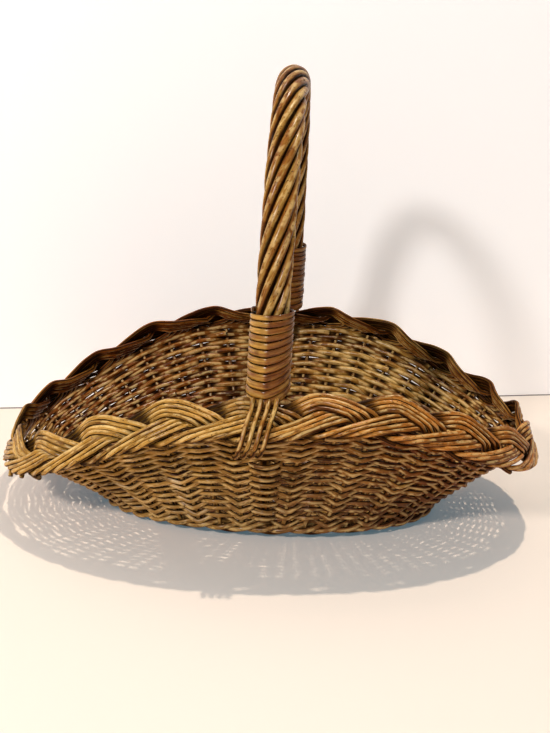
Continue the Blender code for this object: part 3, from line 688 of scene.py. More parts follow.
def plait_willow():
    finish = bpy.context.scene.basket_finish
    amber, golden, chestnut, straw = finish.amber, finish.golden, finish.chestnut, finish.straw
    russet = blend(scaled(amber, 1.9), straw, 0.5)
    # Front left, front right, back left, back right: the darker back tones are painted shade on the back of
    # the border
    tones = (
        (scaled(amber, 0.35), golden, scaled(golden, 1.45), straw),
        (scaled(chestnut, 0.5), scaled(amber, 0.9), scaled(amber, 1.5), russet),
        (scaled(chestnut, 0.5), scaled(chestnut, 1.2), scaled(amber, 0.9), scaled(golden, 1.2)),
        (scaled(chestnut, 0.6), scaled(amber, 0.8), golden, scaled(straw, 0.8)),
    )
    return willow("stained_plait", tones, crevice_shade=0.62, roughness=0.40, varnish=0.34, crown_highlight=0.52, flecks=0.8)


def handle_willow():
    finish = bpy.context.scene.basket_finish
    tones = (scaled(finish.chestnut, 0.35), scaled(finish.amber, 0.8), finish.golden, finish.straw)
    tones = (tones, tones)
    return willow("stained_handle", tones, crevice_shade=0.74, roughness=0.36, varnish=0.40, crown_highlight=0.52, flecks=0.7)


def skein_willow():
    finish = bpy.context.scene.basket_finish
    amber, golden, chestnut = finish.amber, finish.golden, finish.chestnut
    tones = (scaled(chestnut, 0.7), scaled(amber, 0.8), scaled(golden, 1.1), scaled(golden, 2.0))
    look = {"crevice_shade": 0.72, "roughness": 0.28, "varnish": 0.42, "crown_highlight": 0.06}
    return willow("stained_skein", (tones, tones), **look, flecks=0.3, gloss=0.12)


def base_willow():
    finish = bpy.context.scene.basket_finish
    tones = (scaled(finish.chestnut, 0.5), finish.chestnut, finish.golden, scaled(finish.golden, 1.5))
    return willow("stained_base", (tones, tones), crevice_shade=0.55, roughness=0.5, varnish=0.2, crown_highlight=0.4)


# Shapes of the pieces


def stake_radius_at(bowl, rises):
    return bowl.weave.stake_radius * (1.05 - 0.22 * np.asarray(rises))


def leg_radius_at(bowl, rise):
    handle = bowl.handle
    share = np.clip((rise - LEG_TIP_RISE) / (1.0 - LEG_TIP_RISE), 0.0, 1.0)
    return handle.tip_radius + (handle.core_radius - handle.tip_radius) * share


def stake_points(bowl, place, rises):
    """A stake up the wall, leaning a little from its place."""
    lean = 0.06 * wobble(700 + place, rises, 1.6)
    points, normals, _ = bowl.wall_frames(bowl.place_share(place) + lean / bowl.weave.places, rises)
    return points, normals


def row_rises(weave):
    """Rises of the siding rows, closer together towards the border."""
    pitches = np.linspace(weave.pitch_ratio, 1.0, weave.rows - 1)
    steps = np.concatenate([[0.0], np.cumsum(pitches)]) / pitches.sum()
    return weave.first_rise + steps * (weave.last_rise - weave.first_rise)


def row_pitch(weave, number):
    """Rise from one row to the next near the given row."""
    rises = row_rises(weave)
    low, high = max(number - 1, 0), min(number + 1, weave.rows - 1)
    return (rises[high] - rises[low]) / (high - low)


def sharpened(swing, sharpness):
    """A wave of height 1 that is made of straight runs with corners, the nearer the sharpness is to 1."""
    return np.arcsin(sharpness * swing) / math.asin(sharpness)


def row_line(bowl, number, places):
    """One row of siding at places counted in stakes: points, normals, radii, depths and shares."""
    weave = bowl.weave
    shares = bowl.place_share(places)
    rise = row_rises(weave)[number]
    slant = bowl.slant(shares)
    swing = np.cos(math.pi * places)
    over = sharpened(swing, 0.93) * (1.0 if number % 2 == 0 else -1.0)
    # 1 along the back of the bowl, where the shares run from 0 at the right end to 1/2 at the left
    back = np.clip(3.0 * np.sin(TURN * shares), 0.0, 1.0)
    calmer_above = 0.6 * eased(rise, 0.35, 0.85)
    zigzag = weave.zigzag * (1.0 - calmer_above) * (1.0 - 0.72 * back)
    wander = 0.0006 * ring_wobble(900 + number, places / weave.places, 3, 14)
    room_below_plait = min(1.0, (1.02 - rise) / 0.12)
    rises = rise + (wander - zigzag * sharpened(swing, 0.97)) / slant * room_below_plait
    thick = 1.0 + 0.11 * ring_wobble(40 + number, places / weave.places, 2, 7)
    most = (0.54 + 0.16 * back) * row_pitch(weave, number) * slant
    fuller = 1.0 + weave.back_fullness * back
    radii = np.minimum(weave.rod_radius * fuller * thick, most)
    points, normals, _ = bowl.wall_frames(shares, np.clip(rises, 0.0, 1.0))
    reach = (0.80 - 0.30 * back) * (stake_radius_at(bowl, rise) + radii)
    offsets = over * reach
    # Low on the wall the rods bend round a leg on both sides of it, and higher up only outside it
    core, places_bent = leg_radius_at(bowl, rise) + radii, 0.62
    for leg in (bowl.front_leg, bowl.back_leg):
        off = (places - leg + weave.places / 2) % weave.places - weave.places / 2
        near = np.exp(-((off / places_bent) ** 2))
        if rise < LEG_LEAVES_RISE:
            offsets = offsets + near * np.sign(over) * np.maximum(core - reach, 0.0)
        else:
            offsets = offsets * (1.0 - near) + near * np.maximum(offsets, 0.6 * reach)
    return points + normals * offsets[:, None], normals, radii, over, shares


def row_rods(bowl, number):
    """A row's two rods, each round half of the bowl, with their ends tucked in beside each other."""
    half = bowl.weave.places / 2
    start = (number * 17.3) % bowl.weave.places
    overlap, tuck = 0.45, 0.035
    for part in (0, 1):
        places = np.linspace(start + part * half - overlap, start + (part + 1) * half + overlap, 253)
        points, normals, radii, depths, shares = row_line(bowl, number, places)
        run = np.linspace(0.0, 1.0, len(places))
        butt, tip = 1.0 - eased(run, 0.0, tuck), eased(run, 1.0 - tuck, 1.0)
        points = points - normals * ((1.5 * butt - 0.7 * tip) * radii)[:, None]
        yield points, normals, radii * (1.08 - 0.20 * run), depths, shares


def plait_path(plait, turns):
    """How far in a rod of the plait lies at its turns, from -1 at the outer edge to 1 at the inner."""
    # The turns where a rod changes its way, and how far in it lies there, before the corners are rounded
    half = plait.long_share / 2
    stops = (-0.40, -0.23, half - 0.04, half + 0.05, 0.567, 0.66)
    ways_in = (-0.72, -1.08, 1.03, 1.03, -0.36, -0.85)
    fine = np.linspace(-0.5, 1.0, 1501)
    path = np.interp(fine, stops, ways_in)
    window = np.hanning(181)
    rounded = np.convolve(np.pad(path, len(window) // 2, mode="edge"), window / window.sum(), mode="valid")
    return np.interp(turns, fine, rounded)


def plait_height(turns, strand, rank, plait):
    """Height of a plait rod from about -1 to 1, at its own turns and at those of its strand's middle.

    It comes up along the outer edge, dives where it meets the strand that falls across it, rises at
    the inner edge, falls over the next strand, and dives where it meets the one after that.
    """
    under_first = 0.048 - 0.42 * rank * plait.fan
    under_last = 0.505 + 0.026 * rank
    climbing = 1.0 - 2.0 * eased(strand, under_first - 0.03, under_first + 0.03)
    falling = 1.0 - 2.0 * eased(strand, under_last - 0.03, under_last + 0.03)
    turned = eased(turns, 0.20, 0.32)
    risen = eased(turns, -0.31, -0.20)
    return (climbing * (1.0 - turned) + falling * turned) * risen - 0.95 * (1.0 - risen)


def plait_rod(bowl, plait, strand, wave, rod):
    """One rod of the plait, from the outer edge over the border and down under it again."""
    seed = 3000 + strand * 100 + wave * 10 + rod
    rng = np.random.default_rng(seed)
    rank = rod - (plait.rods - 1) / 2
    turns = np.linspace(-0.32 + rng.uniform(-0.008, 0.008), 0.66, 80)
    beside = eased(turns, 0.06, 0.26)
    middle_turns = turns - rank * plait.fan * (1.0 - beside)
    start = plait.start / TURN - plait.waves * bowl.place_share(bowl.front_leg)
    shares = (middle_turns - strand / STRANDS + wave - start) / plait.waves
    middle, run, face, across = bowl.rim_frames(shares)
    sideways = plait_path(plait, turns)
    tilt = np.arctan(np.gradient(sideways, turns) * plait.swing / (bowl.length / plait.waves))
    level = plait_height(turns, middle_turns, rank, plait)
    off = rank * plait.rod_spacing * beside
    inward = plait.swing * sideways + off * np.cos(tilt) + 0.0005 * wobble(seed, turns, 0.5)
    upward = plait.lift * level + 0.0004 * wobble(seed + 1, turns, 0.4)
    points = middle + across * inward[:, None] - run * (off * np.sin(tilt))[:, None]
    outer = 0.55 * (1.0 - eased(turns, -0.26, -0.16))
    upper = unit(face * (1.0 - outer)[:, None] - across * outer[:, None])
    radii = plait.rod_radius * (1.0 + rng.uniform(-0.10, 0.10) + 0.05 * wobble(seed + 2, turns, 0.6))
    return points + face * upward[:, None], upper, radii, level


def cut_end(bowl, plait, share, number):
    """The cut end of a rod that sticks out from under the plait's outer edge."""
    middle, run, face, across = bowl.rim_frames(share)
    way = unit(run * (0.9 + 0.6 * math.sin(number * 2.3)) - across + face * 0.15 * math.sin(number * 1.3))
    start = middle - across * 0.45 * plait.swing - face * (0.0010 + 0.0022 * math.cos(number * 1.9))
    reach = np.linspace(0.0, 0.0135 + 0.0022 * math.sin(number * 1.7), 8)
    return start + reach[:, None] * way, face


def sticks_passed(sizes, plan):
    """How many sticks of the base a ring has passed at each point of its plan, counted on between two."""
    reach = np.abs(plan[:, 0])
    splayed = np.clip((reach - sizes.splay_start) / (sizes.base_length - sizes.splay_start), 0.0, 1.0)
    parted = sizes.stick_pitch + (sizes.stick_splay - sizes.stick_pitch) * splayed
    met = np.zeros(len(plan), bool)
    for index in range(sizes.short_sticks):
        beyond = plan[:, 0] > (index - (sizes.short_sticks - 1) / 2) * sizes.stick_spacing
        met |= beyond != np.roll(beyond, -1)
    for index in range(sizes.long_sticks):
        beyond = plan[:, 1] > (index - (sizes.long_sticks - 1) / 2) * parted
        met |= (beyond != np.roll(beyond, -1)) & (reach > sizes.splay_start * 0.92)
    places = np.flatnonzero(met) + 0.5
    round_again = np.concatenate([places[-1:] - len(plan), places, places[:1] + len(plan)])
    return np.interp(np.arange(len(plan)), round_again, np.arange(-1, len(places) + 1))


def leg_foot(bowl, leg):
    middle, run, _, across = bowl.rim_frames(bowl.place_share(leg))
    foot = middle + unit(np.array([-run[1], run[0], 0.0])) * bowl.handle.inset
    foot[2] = middle[2] + across[2] * PLAIT_HALF_WIDTH + bowl.handle.foot_clearance
    return foot


class Bow:
    """The handle's middle line from the front foot over the top to the back foot."""

    def __init__(self, bowl):
        front, back = leg_foot(bowl, bowl.front_leg), leg_foot(bowl, bowl.back_leg)
        angles = np.linspace(0.0, math.pi, OVAL_STEPS + 1)
        outward = signed_power(np.cos(angles), bowl.handle.power)[:, None]
        upward = signed_power(np.sin(angles), bowl.handle.power)[:, None]
        middle = (front + back) / 2
        top = np.array([0, 0, bowl.handle.top - middle[2]])
        self.line = middle + outward * (front - back) / 2 + upward * top
        steps = np.linalg.norm(np.diff(self.line, axis=0), axis=1)
        self.run = np.concatenate([[0.0], np.cumsum(steps)])
        self.length = self.run[-1]

    def at(self, lengths):
        inside = np.stack([np.interp(lengths, self.run, self.line[:, axis]) for axis in range(3)], axis=-1)
        inside[..., 2] += np.minimum(lengths, 0.0) - np.maximum(lengths - self.length, 0.0)
        return inside

    def frames(self, lengths):
        """Points at lengths from the front foot, with the level way and the way in."""
        lengths = np.asarray(lengths, float)
        step = 0.0005
        along = unit(self.at(lengths + step) - self.at(lengths - step))
        level = unit(np.cross(self.line[0] - self.line[-1], np.array([0, 0, 1.0])))
        level = np.broadcast_to(level * -1.0 if level[0] < 0 else level, along.shape)
        return self.at(lengths), level, np.cross(along, level)


def tail_route(bowl, leg, rank):
    """A roping rod's thin end over the plait and down past its outer edge."""
    handle = bowl.handle
    middle, run, face, across = bowl.rim_frames(bowl.place_share(leg))
    edge = PLAIT_HALF_WIDTH + 0.0003
    over = 0.0091 + handle.tail_radius
    side = (rank - 1.5) * handle.tail_spacing
    # How far back along the border each point lies, how far in, and its share of the height over the plait
    route = (
        (0.0, edge + 0.0009, 0.43),
        (0.08, 0.70 * edge, 0.88),
        (0.20, 0.25 * edge, 1.00),
        (0.50, -0.40 * edge, 0.98),
        (0.80, -edge - 0.0018, 0.50),
        (0.95, -edge - 0.0034, -0.2),
        (1.07, -edge - 0.0024, -1.0),
        (1.18, -edge + 0.0020, -1.65),
    )
    points = [
        middle + run * (side - 0.014 * sweep) + across * inward + face * over * lift
        for sweep, inward, lift in route
    ]
    return np.array(points), face


def smooth_line(points, count):
    """A smooth curve through the points, as count even steps."""
    points = np.asarray(points, float)
    padded = np.concatenate([[2 * points[0] - points[1]], points, [2 * points[-1] - points[-2]]])
    t = np.linspace(0.0, 1.0, 16, endpoint=False)[:, None]
    fine = []
    for a, b, c, d in zip(padded, padded[1:], padded[2:], padded[3:]):
        square, cube = 2 * a - 5 * b + 4 * c - d, 3 * b - a - 3 * c + d
        fine.append(0.5 * (2 * b + (c - a) * t + square * t**2 + cube * t**3))
    fine = np.concatenate(fine + [points[-1:]])
    run = np.concatenate([[0.0], np.cumsum(np.linalg.norm(np.diff(fine, axis=0), axis=1))])
    even = np.linspace(0.0, run[-1], count)
    return np.stack([np.interp(even, run, fine[:, axis]) for axis in range(3)], axis=-1)


# Operators


class BASKET_OT_stakes(Operator):
    """Sets the upright stakes round the base, up to the plait"""

    bl_idname = "basket.stakes"
    bl_label = "Stakes"

    def execute(self, context):
        bowl = sizes_now()
        rises = np.linspace(0.0, 1.0, 15)
        number = 0
        for leg in (bowl.back_leg, bowl.front_leg):
            for first in range(leg + 1, leg + bowl.weave.places // 2, 2):
                number += 1
                pair = Bundle()
                for place in (first, first + 1):
                    points, normals = stake_points(bowl, place, rises)
                    tone = 0.25 + 0.5 * ((place * 37) % 17) / 17
                    pair.add(points, normals, stake_radius_at(bowl, rises), tone, age=0.25)
                pair.finish("stakes_%02d" % number, wall_willow(), "wall_willow", "stake_pair_%02d" % number)
        return {"FINISHED"}


class BASKET_OT_siding(Operator):
    """Weaves the rows of siding in and out of the stakes"""

    bl_idname = "basket.siding"
    bl_label = "Siding"

    def execute(self, context):
        bowl = sizes_now()
        for number, rise in enumerate(row_rises(bowl.weave)):
            row = Bundle()
            for part, (points, normals, radii, depths, shares) in enumerate(row_rods(bowl, number)):
                tone = 0.25 + 0.5 * ((number * 5 + part * 3) % 8) / 7
                tone = tone + 0.35 * ring_wobble(1200 + number * 2 + part, shares, 1, 7)
                age = np.clip(0.55 - 0.7 * rise, 0.0, 0.5) * (normals[:, 1] < 0)
                # The depths paint shade on the side of each rod that lies against the stakes and rows it
                # passes
                row.add(points, normals, radii, np.clip(tone, 0.0, 1.0), age=age, depth=depths)
            name, band = "siding_row_%02d" % (number + 1), "siding_band_%d" % (number // 2 + 1)
            row.finish(name, wall_willow(), "wall_willow", band)
        return {"FINISHED"}


class BASKET_OT_upsett(Operator):
    """Twines three rods round the foot of the stakes"""

    bl_idname = "basket.upsett"
    bl_label = "Upsett"

    def execute(self, context):
        bowl = sizes_now()
        weave = bowl.weave
        places = np.arange(weave.places * 10) / 10
        shares = bowl.place_share(places)
        wale = Bundle()
        rods, up_and_down, middle, in_and_out = 3, 0.0024, 0.0012, 0.0040
        for rod in range(rods):
            turn = TURN * (places - rod) / rods
            rises = weave.wale_rise + up_and_down * np.sin(turn) / bowl.slant(shares)
            points, normals, _ = bowl.wall_frames(shares, rises)
            points = points + normals * (middle + in_and_out * np.cos(turn))[:, None]
            tone = np.clip(0.5 + 0.35 * ring_wobble(60 + rod, shares, 2, 6), 0, 1)
            wale.add(points, normals, weave.wale_radius, tone, closed=True, age=0.4)
        wale.finish("upsett_twining", wall_willow(), "wall_willow", "upsett_wale")
        return {"FINISHED"}


class BASKET_OT_plait(Operator):
    """Plaits three strands of rods over the top of the wall, and lets some cut ends show"""

    bl_idname = "basket.plait"
    bl_label = "Plait"

    def execute(self, context):
        bowl = sizes_now()
        plait = context.scene.basket_plait
        for strand in range(STRANDS):
            for rod in range(plait.rods):
                rods = Bundle()
                for wave in range(plait.waves):
                    points, ups, radii, level = plait_rod(bowl, plait, strand, wave, rod)
                    tone = 0.15 + 0.7 * ((wave * 11 + strand * 5 + rod * 3) % 7) / 6
                    part = np.linspace(0.0, 1.0, len(points))
                    tone = tone + 0.25 * wobble(500 + wave + strand * 7 + rod, part, 0.7)
                    # The depth paints shade on the side of a rod that lies against the strands over or under
                    # it
                    rods.add(points, ups, radii, np.clip(tone, 0, 1), sides=12, depth=level * 0.8)
                name = "plait_rods_%d%s" % (strand + 1, "abcdefgh"[rod])
                rods.finish(name, plait_willow(), "plait_willow", "plait_strand_%d" % (strand + 1))
        self.cut_ends(bowl, plait)
        return {"FINISHED"}

    def cut_ends(self, bowl, plait):
        ends = Bundle()
        for number, share in enumerate(np.concatenate([np.linspace(*stretch) for stretch in CUT_ENDS])):
            points, up = cut_end(bowl, plait, share + 0.003 * math.sin(number * 4.1), number)
            ends.add(points, up, plait.rod_radius * 0.95, 0.2 + 0.07 * (number * 5 % 9), sides=12)
        ends.finish("plait_cut_ends", plait_willow(), "plait_willow")


class BASKET_OT_handle(Operator):
    """Bends the bow and lays the roping rods round it, with their tails tucked in"""

    bl_idname = "basket.handle"
    bl_label = "Handle"

    def execute(self, context):
        bowl = sizes_now()
        bow = Bow(bowl)
        self.core(bowl, bow)
        for index in range(bowl.handle.rods):
            self.rod(bowl, bow, index)
        return {"FINISHED"}

    def core(self, bowl, bow):
        handle = bowl.handle
        inside_wall = np.linspace(LEG_TIP_RISE, 0.66, 6)
        front, back = (
            bowl.wall_frames(np.full(inside_wall.shape, bowl.place_share(leg)), inside_wall)[0]
            for leg in (bowl.front_leg, bowl.back_leg)
        )
        arch = bow.at(np.linspace(0.0, bow.length, 41))
        points = smooth_line(np.concatenate([front, arch, back[::-1]]), 160)
        part = np.linspace(0.0, 1.0, len(points))
        taper = np.clip(np.minimum(part, 1.0 - part) / 0.14, 0.0, 1.0)
        core = Bundle()
        radii = handle.tip_radius + (handle.core_radius - handle.tip_radius) * taper
        core.add(points, [1.0, 0.0, 0.05], radii, 0.3, sides=14)
        core.finish("bow", handle_willow(), "handle_willow", "bow_core")

    def rod(self, bowl, bow, index):
        """A roping rod from binding to binding. Each of the first half ends in a tail at the front foot."""
        handle = bowl.handle
        total, bound = bow.length, ROPING_TURNS_FROM
        foot = np.linspace(ROPING_START, bound, 10)[:-1]
        middle_part = np.linspace(bound, total - bound, int(handle.turns * 30))
        lengths = np.concatenate([foot, middle_part, total - foot[::-1]])
        twist = np.clip((lengths - bound) / (total - 2 * bound), 0.0, 1.0) * 360.0 * handle.turns
        angles = -90.0 + (index - 1.5) * 360.0 / handle.rods + twist + 2.0 * wobble(20 + index, lengths, 0.23)
        angles = np.radians(angles)[:, None]
        middle, level, inward = bow.frames(lengths)
        outward = np.cos(angles) * level + np.sin(angles) * inward
        away = handle.core_radius + handle.butt_radius + 0.0001 + 0.0003 * wobble(80 + index, lengths, 0.17)
        points = middle + away[:, None] * outward
        at_front = index < handle.rods // 2
        share = 1.0 - lengths / total if at_front else lengths / total
        radii = handle.butt_radius + (handle.end_radius - handle.butt_radius) * share
        radii = radii * (1.0 + 0.05 * wobble(150 + index, lengths, 0.12))
        if at_front:
            tail, face = tail_route(bowl, bowl.front_leg, index)
        else:
            tail, face = tail_route(bowl, bowl.back_leg, handle.rods - 1 - index)
        # Each rod is joined to its tail with the tail first, and turned round again where that is at the back
        way = slice(None, None, 1 if at_front else -1)
        points, outward, radii = points[way], outward[way], radii[way]
        curve = smooth_line(np.concatenate([tail[::-1], points[:2]]), TAIL_STEPS)
        part = np.linspace(0, 1, TAIL_STEPS)
        slim = np.interp(part, [0, 0.82, 1.0], [0.9, 1.0, 1.25]) * handle.tail_radius
        points = np.concatenate([curve, points[2:]])
        normals = np.concatenate([np.broadcast_to(face, curve.shape), outward[2:]])
        radii = np.concatenate([slim, radii[2:]])
        radii[TAIL_STEPS : TAIL_STEPS + 6] = np.linspace(slim[-1], radii[TAIL_STEPS + 6], 6)
        rod = Bundle()
        rod.add(points[way], normals[way], radii[way], 0.35 + 0.5 * ((index * 5) % 8) / 8, sides=14)
        rod.finish("roping_%d" % (index + 1), handle_willow(), "handle_willow", "roping_rod_%d" % (index + 1))


class BASKET_OT_bindings(Operator):
    """Winds flat skein round each foot of the handle"""

    bl_idname = "basket.bindings"
    bl_label = "Bindings"

    def execute(self, context):
        bowl = sizes_now()
        bow = Bow(bowl)
        for name, front in (("front", True), ("back", False)):
            skein = Bundle()
            self.strip(skein, bowl.handle, bow, front)
            skein.finish(name + "_skein", skein_willow(), "skein_willow", name + "_binding")
        return {"FINISHED"}

    def strip(self, skein, handle, bow, front):
        """The strip from the foot up, raised in a ridge over the middle tail and lifted to its right."""
        turns = np.linspace(0.0, handle.skein_turns, handle.skein_turns * 48 + 1)
        part = turns / handle.skein_turns
        climb = handle.skein_width * handle.skein_turns * (1.20 * part - 0.20 * part**2)
        start_angle = 200.0
        angles = start_angle + turns * 360.0
        beyond = (angles - RIDGE_ANGLE) % 360.0
        fade = np.clip(1.15 - part * 1.25, 0.0, 1.0)
        lifted = np.interp(beyond, [0.0, 84.0, 240.0, 360.0], [0.0, 1.0, 0.1, 0.0])
        heights = -0.0020 + climb + handle.skein_lift * (0.25 + 0.75 * fade) * lifted
        middle, level, inward = bow.frames(heights if front else bow.length - heights)
        off = np.abs((beyond + 180.0) % 360.0 - 180.0)
        ridge = handle.ridge * fade * np.clip(1.0 - off / 62.0, 0.0, 1.0) ** 1.15
        radius = handle.skein_radius + ridge + 0.0003 * wobble(33 + front, turns, 3.1)
        turned = np.radians(angles)[:, None]
        outward = np.cos(turned) * level + np.sin(turned) * inward
        points = middle + radius[:, None] * outward
        width = handle.skein_width * (0.575 - 0.215 * part)
        left_side = eased(beyond, 215.0, 275.0) * (1.0 - eased(beyond, 354.0, 362.0))
        tone = np.clip(0.14 + 0.66 * left_side + 0.16 * wobble(11, turns, 4.0), 0.0, 1.0)
        skein.add(points, outward, width, tone, sides=16, squash=0.36)


class BASKET_OT_base(Operator):
    """Weaves the oval base round its sticks"""

    bl_idname = "basket.base"
    bl_label = "Base"

    def execute(self, context):
        bowl = sizes_now()
        sizes = bowl.sizes
        weave = Bundle()
        count, rings, rod_radius, up_and_down = 600, 15, 0.0023, 0.0039
        rim, long_way_in, short_way_in = 0.0045, 0.0605, 0.0675
        shares = (np.arange(count) + 0.37) / count
        for ring in range(rings):
            inward = ring / (rings - 1)
            half_length = sizes.base_length - rim - long_way_in * inward
            half_width = sizes.base_width - rim - short_way_in * inward
            outline = bowl.oval(half_length, half_width, sizes.base_power * (1.0 - 0.5 * inward**2))
            plan = bowl.on_oval(outline, shares)
            wave = np.cos(math.pi * (sticks_passed(sizes, plan) + ring))
            for layer in (1, -1):
                drift = 0.0003 * ring_wobble(2100 + ring * 2 + layer, shares, 3, 12)
                height = bowl.stick_height + layer * wave * up_and_down + drift
                points = np.concatenate([plan, height[:, None]], axis=1)[::2]
                tone = 0.45 + 0.45 * ring_wobble(2000 + ring * 2 + layer, shares[::2], 1, 5)
                tone = np.clip(tone, 0, 1)
                weave.add(points, [0.0, 0.0, 1.0], rod_radius, tone, closed=True, sides=8, age=0.2)
        weave.finish("base_weaving", base_willow(), "base_willow", "base_weave")
        for name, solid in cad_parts.items():
            if "base_stick" in name:
                self.stick(name, solid)
        return {"FINISHED"}

    def stick(self, name, solid):
        """A round stick along the middle of its solid, bent where that is bent."""
        low, high = (np.array(corner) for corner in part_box(name))
        verts = np.array([vertex.co for vertex in solid.data.vertices])
        axis = 0 if high[0] - low[0] > high[1] - low[1] else 1
        middle = []
        for value in np.linspace(low[axis], high[axis], 15):
            near = verts[np.argsort(np.abs(verts[:, axis] - value))[:8]]
            point = near.mean(axis=0)
            point[axis] = value
            point[2] = (low[2] + high[2]) / 2
            middle.append(point)
        stick = Bundle()
        stick.add(smooth_line(middle, 40), [0.0, 0.0, 1.0], (high[2] - low[2]) / 2, 0.4, sides=12)
        stick.finish(name.replace("stick", "rod"), base_willow(), "base_willow", name)


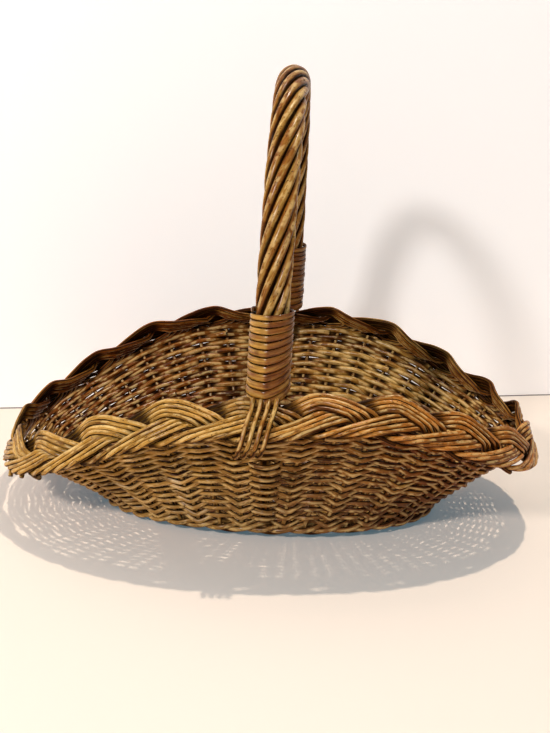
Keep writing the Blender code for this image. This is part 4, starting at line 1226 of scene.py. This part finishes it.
class BASKET_OT_stage(Operator):
    """Sets the table, the wall, the lamps and the camera"""

    bl_idname = "basket.stage"
    bl_label = "Stage"

    PLACE = (-0.0569, -0.9630, 0.4185)
    YAW, PITCH, ROLL = 0.0580, 0.2977, 0.0618
    # The picture's size and the camera's focus, and where the wall's foot passes the picture's edges
    PICTURE, FOCUS = (550.0, 733.0), 1166.0
    WALL_FOOT = ((-40.0, 409.5), (590.0, 394.0))
    LAMPS_AIM = (0.0, 0.0, 0.12)
    TABLE_HALF, WALL_HEIGHT, WALL_GOES_ON, JOINT_HEIGHT, JOINT_GAP = 4.0, 1.6, 1.2, 0.0016, 0.001

    def execute(self, context):
        finish = context.scene.basket_finish
        self.camera(context)
        self.lamps(context)
        half = self.TABLE_HALF
        corners = [(-half, -half, 0), (half, -half, 0), (half, half, 0), (-half, half, 0)]
        self.sheet("table_top", corners, finish.floor_tint, 0.14, finish.air_tint)
        left, right = (self.on_table(*place) for place in self.WALL_FOOT)
        away = unit(right - left)
        ends = np.array([left - away * self.WALL_GOES_ON, right + away * self.WALL_GOES_ON])
        nearer = np.array([away[1], -away[0], 0.0]) * self.JOINT_GAP
        self.upright("back_wall", ends, self.WALL_HEIGHT, finish.wall_tint, 0.27)
        self.upright("wall_joint", ends + nearer, self.JOINT_HEIGHT, finish.joint_tint, 0.05)
        return {"FINISHED"}

    def upright(self, name, ends, height, tint, glow):
        """A sheet that stands on the table and can be seen through from behind."""
        corners = [ends[0], ends[1], ends[1] + [0, 0, height], ends[0] + [0, 0, height]]
        self.sheet(name, corners, tint, glow, tint, one_sided=True)

    def axes(self):
        """The camera's right, up and forward ways."""
        yaw, pitch, roll = self.YAW, self.PITCH, self.ROLL
        ahead = np.array([math.sin(yaw) * math.cos(pitch), math.cos(yaw) * math.cos(pitch), -math.sin(pitch)])
        right = np.array([math.cos(yaw), -math.sin(yaw), 0.0])
        up = np.cross(right, ahead)
        straight, leaning = math.cos(roll), math.sin(roll)
        return straight * right + leaning * up, straight * up - leaning * right, ahead

    def on_table(self, x, y):
        """Where the line of sight through a place in the picture meets the table."""
        right, up, ahead = self.axes()
        wide, high = self.PICTURE
        ray = ahead + right * (x - wide / 2) / self.FOCUS + up * (high / 2 - y) / self.FOCUS
        return np.array(self.PLACE) - ray * self.PLACE[2] / ray[2]

    def put(self, data, right, up, ahead, place):
        """A camera or lamp that looks ahead from its place."""
        made = bpy.data.objects.new(data.name, data)
        matrix = np.eye(4)
        matrix[:3] = np.stack([right, up, -ahead, place], axis=1)
        made.matrix_world = Matrix(matrix.tolist())
        bpy.context.scene.collection.objects.link(made)
        return made

    def camera(self, context):
        data = bpy.data.cameras.new("camera")
        data.lens = self.FOCUS * data.sensor_width / self.PICTURE[1]
        context.scene.camera = self.put(data, *self.axes(), self.PLACE)

    def lamps(self, context):
        scene = context.scene
        scene.view_settings.view_transform = "Standard"
        world = bpy.data.worlds.new("soft_daylight")
        scene.world = world
        world.use_nodes = True
        back = world.node_tree.nodes["Background"]
        back.inputs[0].default_value = (0.66, 0.86, 1.0, 1.0)
        back.inputs[1].default_value = 0.30
        for name, place, size, power, tint in (
            ("ceiling_light", (0.38, 0.18, 2.25), 0.07, 27.0, (1.0, 0.93, 0.82)),
            ("window_light", (-1.16, -1.61, 1.33), 0.20, 31.0, (1.0, 0.98, 0.96)),
        ):
            data = bpy.data.lights.new(name, "AREA")
            data.shape = "SQUARE"
            data.size, data.energy, data.color = size, power, tint
            ahead = unit(np.array(self.LAMPS_AIM) - np.array(place))
            right = unit(np.cross(ahead, [0, 0, 1.0]))
            self.put(data, right, np.cross(right, ahead), ahead, place)

    def sheet(self, name, corners, tint, glow, glow_tint, one_sided=False):
        """A flat piece of the stage that glows a little for the camera alone."""
        mesh = bpy.data.meshes.new(name)
        mesh.from_pydata([tuple(map(float, corner)) for corner in corners], [], [(0, 1, 2, 3)])
        material = bpy.data.materials.new(name)
        material.use_nodes = True
        tree = material.node_tree
        shader = tree.nodes["Principled BSDF"]
        shader.inputs["Roughness"].default_value = 0.8
        spots = noise(tree, node(tree, "ShaderNodeTexCoord").outputs["Object"], 3.0, 3.0)
        tone = mix_colour(tree, spots, scaled(tint, 0.985), tint)
        tree.links.new(tone, shader.inputs["Base Color"])
        shader.inputs["Emission Color"].default_value = (*glow_tint, 1.0)
        seen = times(tree, node(tree, "ShaderNodeLightPath").outputs["Is Camera Ray"], glow)
        tree.links.new(seen, shader.inputs["Emission Strength"])
        if one_sided:
            chosen = node(tree, "ShaderNodeMixShader")
            behind = node(tree, "ShaderNodeNewGeometry").outputs["Backfacing"]
            clear = node(tree, "ShaderNodeBsdfTransparent").outputs[0]
            for index, output in enumerate((behind, shader.outputs[0], clear)):
                tree.links.new(output, chosen.inputs[index])
            tree.links.new(chosen.outputs[0], tree.nodes["Material Output"].inputs[0])
        mesh.materials.append(material)
        piece = bpy.data.objects.new(name, mesh)
        bpy.context.scene.collection.objects.link(piece)
        piece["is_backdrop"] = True


class BASKET_PT_panel(Panel):
    """Lists the basket's pieces in the order in which a maker works"""

    bl_label = "Foraging Basket"
    bl_space_type = "VIEW_3D"
    bl_region_type = "UI"
    bl_category = "Basket"

    def draw(self, context):
        for operator in OPERATORS:
            self.layout.operator(operator.bl_idname)
        for key, _ in GROUPS:
            group = getattr(context.scene, key)
            box = self.layout.box()
            for name in group.__annotations__:
                box.prop(group, name)


GROUPS = (
    ("basket_bowl", BASKET_PG_bowl),
    ("basket_weave", BASKET_PG_weave),
    ("basket_plait", BASKET_PG_plait),
    ("basket_handle", BASKET_PG_handle),
    ("basket_finish", BASKET_PG_finish),
)
OPERATORS = (
    BASKET_OT_base,
    BASKET_OT_stakes,
    BASKET_OT_upsett,
    BASKET_OT_siding,
    BASKET_OT_plait,
    BASKET_OT_handle,
    BASKET_OT_bindings,
    BASKET_OT_stage,
)


def register():
    for key, group in GROUPS:
        bpy.utils.register_class(group)
        setattr(bpy.types.Scene, key, PointerProperty(type=group))
    for operator in OPERATORS:
        bpy.utils.register_class(operator)
    bpy.utils.register_class(BASKET_PT_panel)


def unregister():
    bpy.utils.unregister_class(BASKET_PT_panel)
    for operator in reversed(OPERATORS):
        bpy.utils.unregister_class(operator)
    for key, group in reversed(GROUPS):
        delattr(bpy.types.Scene, key)
        bpy.utils.unregister_class(group)


def main():
    register()
    bpy.ops.basket.stage()
    bpy.ops.basket.base()
    bpy.ops.basket.stakes()
    bpy.ops.basket.upsett()
    bpy.ops.basket.siding()
    bpy.ops.basket.plait()
    bpy.ops.basket.handle()
    bpy.ops.basket.bindings()
    boxes = {"cad": CAD_BOX, "visual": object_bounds()}
    {key: [list(map(float, corner)) for corner in box] for key, box in boxes.items()}


if __name__ == "__main__":
    main()
